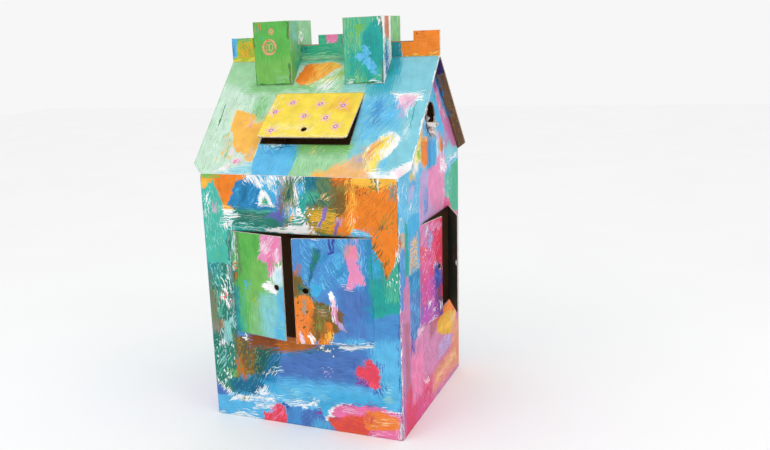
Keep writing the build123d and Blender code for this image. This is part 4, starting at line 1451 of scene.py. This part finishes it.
# Each ring's centre, radius in mm, squash, half width in mm and seed
red_rings = [(RING_CENTRE, 25, 1.0, 2.3, 0.3), (RING_CENTRE + (1 * MM, 0), 21, 1.0, 1.3, 2.1),
             (SMALL_RING, 9, 0.9, 1.9, 1.0), (RING_CENTRE - (7 * MM, 0), 11, 0.5, 1.2, 1.4)]
pale_rings = [(RING_CENTRE + (0, 1 * MM), 23, 1.05, 1.1, 4.0), (RING_CENTRE + (7 * MM, 0), 12, 0.6, 1.2, 0.2),
              (SMALL_RING, 4, 1.0, 1.4, 2.0)]
for name, kept, first, second in (("red_ring", red_rings, "#DE7450", "#E8A48A"),
                                  ("pale_ring", pale_rings, "#E6B49A", "#B4C880")):
    beads = [bead("left_chimney_front", loop(centre, radius * MM, squash, 0.04, seed), half * MM, 0.6 * MM,
                  closed=True) for centre, radius, squash, half, seed in kept]
    joined_piece(name + "s", beads,
                 two_tone_material(name, first, second, ring_scales, PAINT_ROUGHNESS))
swirls = [ray(np.array((84, 164)) * MM, start, 4 * MM, reach * MM, bend)
          for start, reach, bend in ((0.3, 19, 3.6), (2.4, 16, 3.0), (4.4, 22, 2.4))]
joined_piece("white_swirl",
             [bead("left_chimney_right", path, 1.5 * MM, 0.6 * MM) for path in swirls],
             two_tone_material("swirl", "#DCEEE4", "#FFFFFF", ring_scales, PAINT_ROUGHNESS))

# Paper torn back from the round hole in the gable, in flakes that widen and then narrow as they curl outwards.
# For each flake: where it stands on the rim and half its width, in degrees, then its length and curl in mm
TEARS = ((150, 9, 11, 5), (170, 12, 18, 8), (188, 11, 14, 15), (204, 10, 20, 24), (220, 11, 17, 30),
         (236, 10, 20, 27), (252, 11, 17, 15), (269, 12, 23, 12), (286, 11, 15, 9), (302, 12, 22, 14),
         (319, 11, 15, 11), (338, 9, 11, 7))
gable_hole = corner + (WALL_WIDTH, RIDGE_Y, WALL_HEIGHT + GABLE_HOLE_RISE)


def flake(k, degrees, half_angle, length, curl):
    """Torn flake k: a bar that leaves the rim of the gable's hole and curls out of the wall.

    At a share s of its length it is the hole's radius less 1.5 mm plus length·sin(1.35 s) from the middle of
    the hole, 1.2 mm + curl·s² out of the wall, and turned round the hole by 0.22 s·sin(2.7 k). Its half width
    is the half angle times that distance times 1.05 - 0.8 s^1.7 + 0.12·sin(9 s + k).
    """
    share = np.linspace(0, 1, 8)
    reach = GABLE_HOLE_RADIUS - 1.5 * MM + length * MM * np.sin(share * 1.35)
    angle = math.radians(degrees) + 0.22 * share * math.sin(2.7 * k)
    out = np.column_stack([np.zeros(8), np.cos(angle), np.sin(angle)])
    round_hole = np.column_stack([np.zeros(8), -np.sin(angle), np.cos(angle)])
    lift = (1.2 + curl * share ** 2) * MM
    middle = gable_hole + out * reach[:, None] + lift[:, None] * (1, 0, 0)
    half = math.radians(half_angle) * reach * (1.05 - 0.8 * share ** 1.7 + 0.12 * np.sin(9 * share + k))
    rise = np.array((1.0, 0, 0)) * 0.45 * MM - out * 0.2 * MM
    return bar(middle, -round_hole * half[:, None], rise, BEAD)


flakes = [flake(k, *tear) for k, tear in enumerate(TEARS)]
joined_piece("torn_paper", flakes[::2],
             two_tone_material("torn_white", "#CDB4A8", "#FBF8F7", (150.0, 60.0, 1.0), CARD_ROUGHNESS))
joined_piece("torn_liner", flakes[1::2],
             two_tone_material("torn_brown", "#8A5A50", "#F6E2DE", (120.0, 50.0, 1.0), CARD_ROUGHNESS))

# Raw edges of the board: two liners, and between them the wave of the fluting where the cut runs across it
LINER, PROUD = 0.3 * MM, 0.22 * MM
BOX = np.array([(1, 0), (1, 0.5), (1, 1), (0, 1), (-1, 1), (-1, 0.5), (-1, 0), (0, 0)], float)


def raw_edge(face_name, side, start, end, depth=0.0):
    """The bars that stand out of one cut edge of a panel, from start to end along it.

    The edge is the left, right, top or foot of the panel, or lies a depth inside that. Bars run at the outer
    face and at the inner face. Across the flutes the bar between them swings from one to the other as the
    sine of the way along over the pitch, and along the flutes two straight ones lie between them.
    """
    face = panels[face_name]
    normal = np.cross(face.across, face.up)
    level_cut = side in ("top", "foot")
    along, away = (face.across, face.up) if level_cut else (face.up, face.across)
    away = away * (1 if side in ("top", "right") else -1)
    far = {"top": face.height, "right": face.width}.get(side, 0.0)
    origin = face.origin + away * (0 if side in ("left", "foot") else far) - away * depth
    middle, swing = BOARD / 2, BOARD / 2 - 2 * LINER
    lines = [lambda way: 0 * way + LINER, lambda way: 0 * way + BOARD - LINER]
    if level_cut:
        lines.append(lambda way: middle + swing * np.sin(2 * math.pi * way / FLUTE_PITCH))
    else:
        lines += [lambda way: 0 * way + middle - 0.45 * swing, lambda way: 0 * way + middle + 0.4 * swing]
    section = BOX if np.dot(np.cross(along, normal), away) > 0 else BOX[::-1]
    bars = []
    for line in lines:
        way = np.linspace(start, end, 2 + int((end - start) / (1.25 * MM) if level_cut else 4))
        path = origin + way[:, None] * along - line(way)[:, None] * normal - 0.3 * PROUD * away
        ones = np.ones((len(way), 1))
        bars.append(bar(path, ones * normal * LINER, ones * away * PROUD * 1.3, section))
    return bars


merlons = [(k * (MERLON + CRENEL), k * (MERLON + CRENEL) + MERLON) for k in range(3)]
crenels = [(MERLON, MERLON + CRENEL), (2 * MERLON + CRENEL, 2 * (MERLON + CRENEL))]
roof_round, flap_round = EAVE_BAND, 3 * MM  # where the straight edges of a roof slope and of a flap begin
edges = [("skylight", "foot", SKYLIGHT_ROUND, SKYLIGHT_WIDTH - SKYLIGHT_ROUND, 0)]
edges += [("skylight", side, SKYLIGHT_ROUND, SKYLIGHT_LENGTH - BOARD, 0) for side in ("left", "right")]
for name, width, free in (("front_left_shutter", FRONT_LEFT, "right"), ("front_right_shutter", FRONT_RIGHT, "left"),
                          ("side_near_shutter", SIDE_NEAR, "right"), ("side_far_shutter", SIDE_FAR, "left")):
    ends = (BOARD, width - flap_round) if free == "right" else (flap_round, width - BOARD)
    edges += [(name, free, flap_round, SHUTTER_HEIGHT - flap_round, 0)]
    edges += [(name, side, *ends, 0) for side in ("top", "foot")]
for name in ("front_roof", "rear_roof"):
    edges += [(name, side, roof_round, SLOPE_LENGTH - 3 * MM, 0) for side in ("left", "right")]
for name, rise in (("front_strip", 0.0), ("rear_strip", REAR_RISE)):
    edges += [(name, "top", start, end, 0) for start, end in merlons]
    edges += [(name, "top", start, end, CRENEL_DEPTH - rise) for start, end in crenels]
    edges += [(name, side, 3 * MM, STRIP_HEIGHT, 0) for side in ("left", "right")]
house_edges = [one for edge in edges for one in raw_edge(*edge)]
edge_scales = (240.0, 60.0, 1.0)
CUT_BROWN, CUT_WHITE = "#B8987A", "#EFE9DF"
joined_piece("house_edges", house_edges,
             two_tone_material("cut_board", CUT_BROWN, CUT_WHITE, edge_scales, CARD_ROUGHNESS))
for side in ("left", "right"):
    tops = [raw_edge(f"{side}_chimney_{face}", "top", CHIMNEY_BEVEL, width - CHIMNEY_BEVEL)
            for face, width in (("front", CHIMNEY_WIDTH - 5 * MM), ("right", CHIMNEY_DEPTH),
                                ("back", CHIMNEY_WIDTH), ("left", CHIMNEY_DEPTH))]
    joined_piece(f"{side}_chimney_edges", [one for top in tops for one in top],
                 two_tone_material(f"{side}_cut_board", CUT_BROWN, CUT_WHITE, edge_scales, CARD_ROUGHNESS))


TORN_REACH, TORN_PROUD = 0.1, 0.6 * MM  # how far from the hole board is folded back, and how far out it then stands


def board_material(name, centre, torn=None):
    """Bare corrugated board: white paper on the faces that point away from a centre, brown on the others.

    Within a tenth of a metre of a torn hole, whatever stands out of the wall there is folded back, so it is the
    other way round.
    """
    material, tree, shader = new_material(name)
    spot = node(tree, "ShaderNodeTexCoord").outputs["Object"]
    facing = node(tree, "ShaderNodeNewGeometry").outputs["Normal"]
    away = vector_node(tree, "SUBTRACT", spot, tuple(centre))
    outwards = node(tree, "ShaderNodeVectorMath", {0: away, 1: facing}, operation="DOT_PRODUCT").outputs["Value"]
    outside = math_node(tree, "GREATER_THAN", outwards, 0.0)
    if torn is not None:
        from_hole = vector_node(tree, "SUBTRACT", spot, tuple(torn))
        stands_out = math_node(tree, "GREATER_THAN", node(tree, "ShaderNodeSeparateXYZ", {0: from_hole}).outputs[0],
                               TORN_PROUD)
        distance = node(tree, "ShaderNodeVectorMath", {0: from_hole}, operation="LENGTH").outputs["Value"]
        folded = math_node(tree, "MULTIPLY", stands_out, math_node(tree, "LESS_THAN", distance, TORN_REACH))
        outside = math_node(tree, "ABSOLUTE", math_node(tree, "SUBTRACT", outside, folded))
    white = node(tree, "ShaderNodeGroup", {"Place": spot, "Liner": tone("#F1F1EC")}, node_tree=card_liner)
    brown = node(tree, "ShaderNodeGroup", {"Place": spot, "Liner": tone("#A67F58")}, node_tree=card_liner)
    colour = mix_node(tree, outside, brown.outputs["Color"], white.outputs["Color"])
    tree.links.new(colour, shader.inputs["Base Color"])
    clouds = noise(tree, spot, 40.0).outputs["Fac"]
    tree.links.new(math_node(tree, "MULTIPLY_ADD", clouds, 0.2, 0.7), shader.inputs["Roughness"])
    raise_surface(tree, shader, white.outputs["Height"], 0.3, 0.4 * MM)
    return material


house_middle = corner + (WALL_WIDTH / 2, WALL_DEPTH / 2, 0.4)
boards = {"house_sheet": board_material("house_board", house_middle, gable_hole)}
for side in ("left", "right"):
    face = panels[f"{side}_chimney_front"]
    middle = face.origin + (CHIMNEY_WIDTH / 2, CHIMNEY_DEPTH / 2, CHIMNEY_HEIGHT / 2)
    boards[f"{side}_chimney"] = board_material(f"{side}_chimney_board", middle)
for name, material in boards.items():
    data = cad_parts[name].data
    data.materials.clear()
    data.materials.append(material)


def stage_material(name, code):
    """The plain pale floor, with a faint unevenness."""
    material, tree, shader = new_material(name)
    spot = node(tree, "ShaderNodeTexCoord").outputs["Object"]
    clouds = noise(tree, spot, 1.5).outputs["Fac"]
    shade = math_node(tree, "MULTIPLY_ADD", clouds, 0.04, 0.98)
    tree.links.new(scaled(tree, tone(code)[:3], shade), shader.inputs["Base Color"])
    shader.inputs["Roughness"].default_value = 0.9
    return material


FLOOR_REACH, FLOOR_DROP = 12.0, 0.0005
floor_corners = np.array([(-1, -1), (1, -1), (1, 1), (-1, 1)]) * FLOOR_REACH
floor = new_mesh("floor", np.column_stack([floor_corners, np.full(4, -FLOOR_DROP)]), np.array([[0, 1, 2, 3]]))
floor.data.materials.append(stage_material("pale_floor", "#FCFCFC"))


def aim(thing, place, target):
    """Puts a lamp or camera at a place and turns it to look at a target."""
    thing.location = place
    thing.rotation_euler = (mathutils.Vector(target) - mathutils.Vector(place)).to_track_quat("-Z", "Y").to_euler()


def lamp(name, place, target, size, power):
    """A soft square lamp."""
    light = bpy.data.lights.new(name, "AREA")
    light.size = size
    light.energy = power
    held = bpy.data.objects.new(name, light)
    bpy.context.scene.collection.objects.link(held)
    aim(held, place, target)


house_centre, lamp_size = (0.0, 0.0, 0.65), 2.4
KEY_POWER, FILL_POWER, SKY_STRENGTH = 26.0, 15.0, 0.93
lamp("key", (-1.6, -3.6, 3.4), house_centre, lamp_size, KEY_POWER)
lamp("fill", (3.4, -1.4, 2.6), house_centre, lamp_size, FILL_POWER)
world = bpy.data.worlds.new("studio")
world.use_nodes = True
background = world.node_tree.nodes["Background"].inputs
background["Color"].default_value = (1.0, 1.0, 1.0, 1.0)
background["Strength"].default_value = SKY_STRENGTH
bpy.context.scene.world = world
bpy.context.scene.view_settings.view_transform = "Standard"

# The camera, from the corners of the house in the picture: where it stood, how it was turned and its lens
IMAGE_WIDTH, IMAGE_HEIGHT, SENSOR = 770, 450, 36.0
FOCAL_PIXELS = 847.7
PRINCIPAL = (330.2, 255.0)
CAMERA_FROM_CORNER = (1.5414, -2.3939, 1.2935)
CAMERA_TURN = (1.8035, 0.3449, -0.3280)
turn_angle = math.sqrt(sum(part * part for part in CAMERA_TURN))
turned = mathutils.Matrix.Rotation(turn_angle, 3, mathutils.Vector(CAMERA_TURN))
right, down, ahead = turned[0], turned[1], turned[2]
camera_data = bpy.data.cameras.new("camera")
camera_data.sensor_width = SENSOR
camera_data.lens = FOCAL_PIXELS * SENSOR / IMAGE_WIDTH
camera_data.shift_x = (IMAGE_WIDTH / 2 - PRINCIPAL[0]) / IMAGE_WIDTH
camera_data.shift_y = (PRINCIPAL[1] - IMAGE_HEIGHT / 2) / IMAGE_WIDTH
camera = bpy.data.objects.new("camera", camera_data)
bpy.context.scene.collection.objects.link(camera)
facing = mathutils.Matrix((right, -down, -ahead)).transposed().to_4x4()
facing.translation = mathutils.Vector(corner + CAMERA_FROM_CORNER)
camera.matrix_world = facing
bpy.context.scene.camera = camera
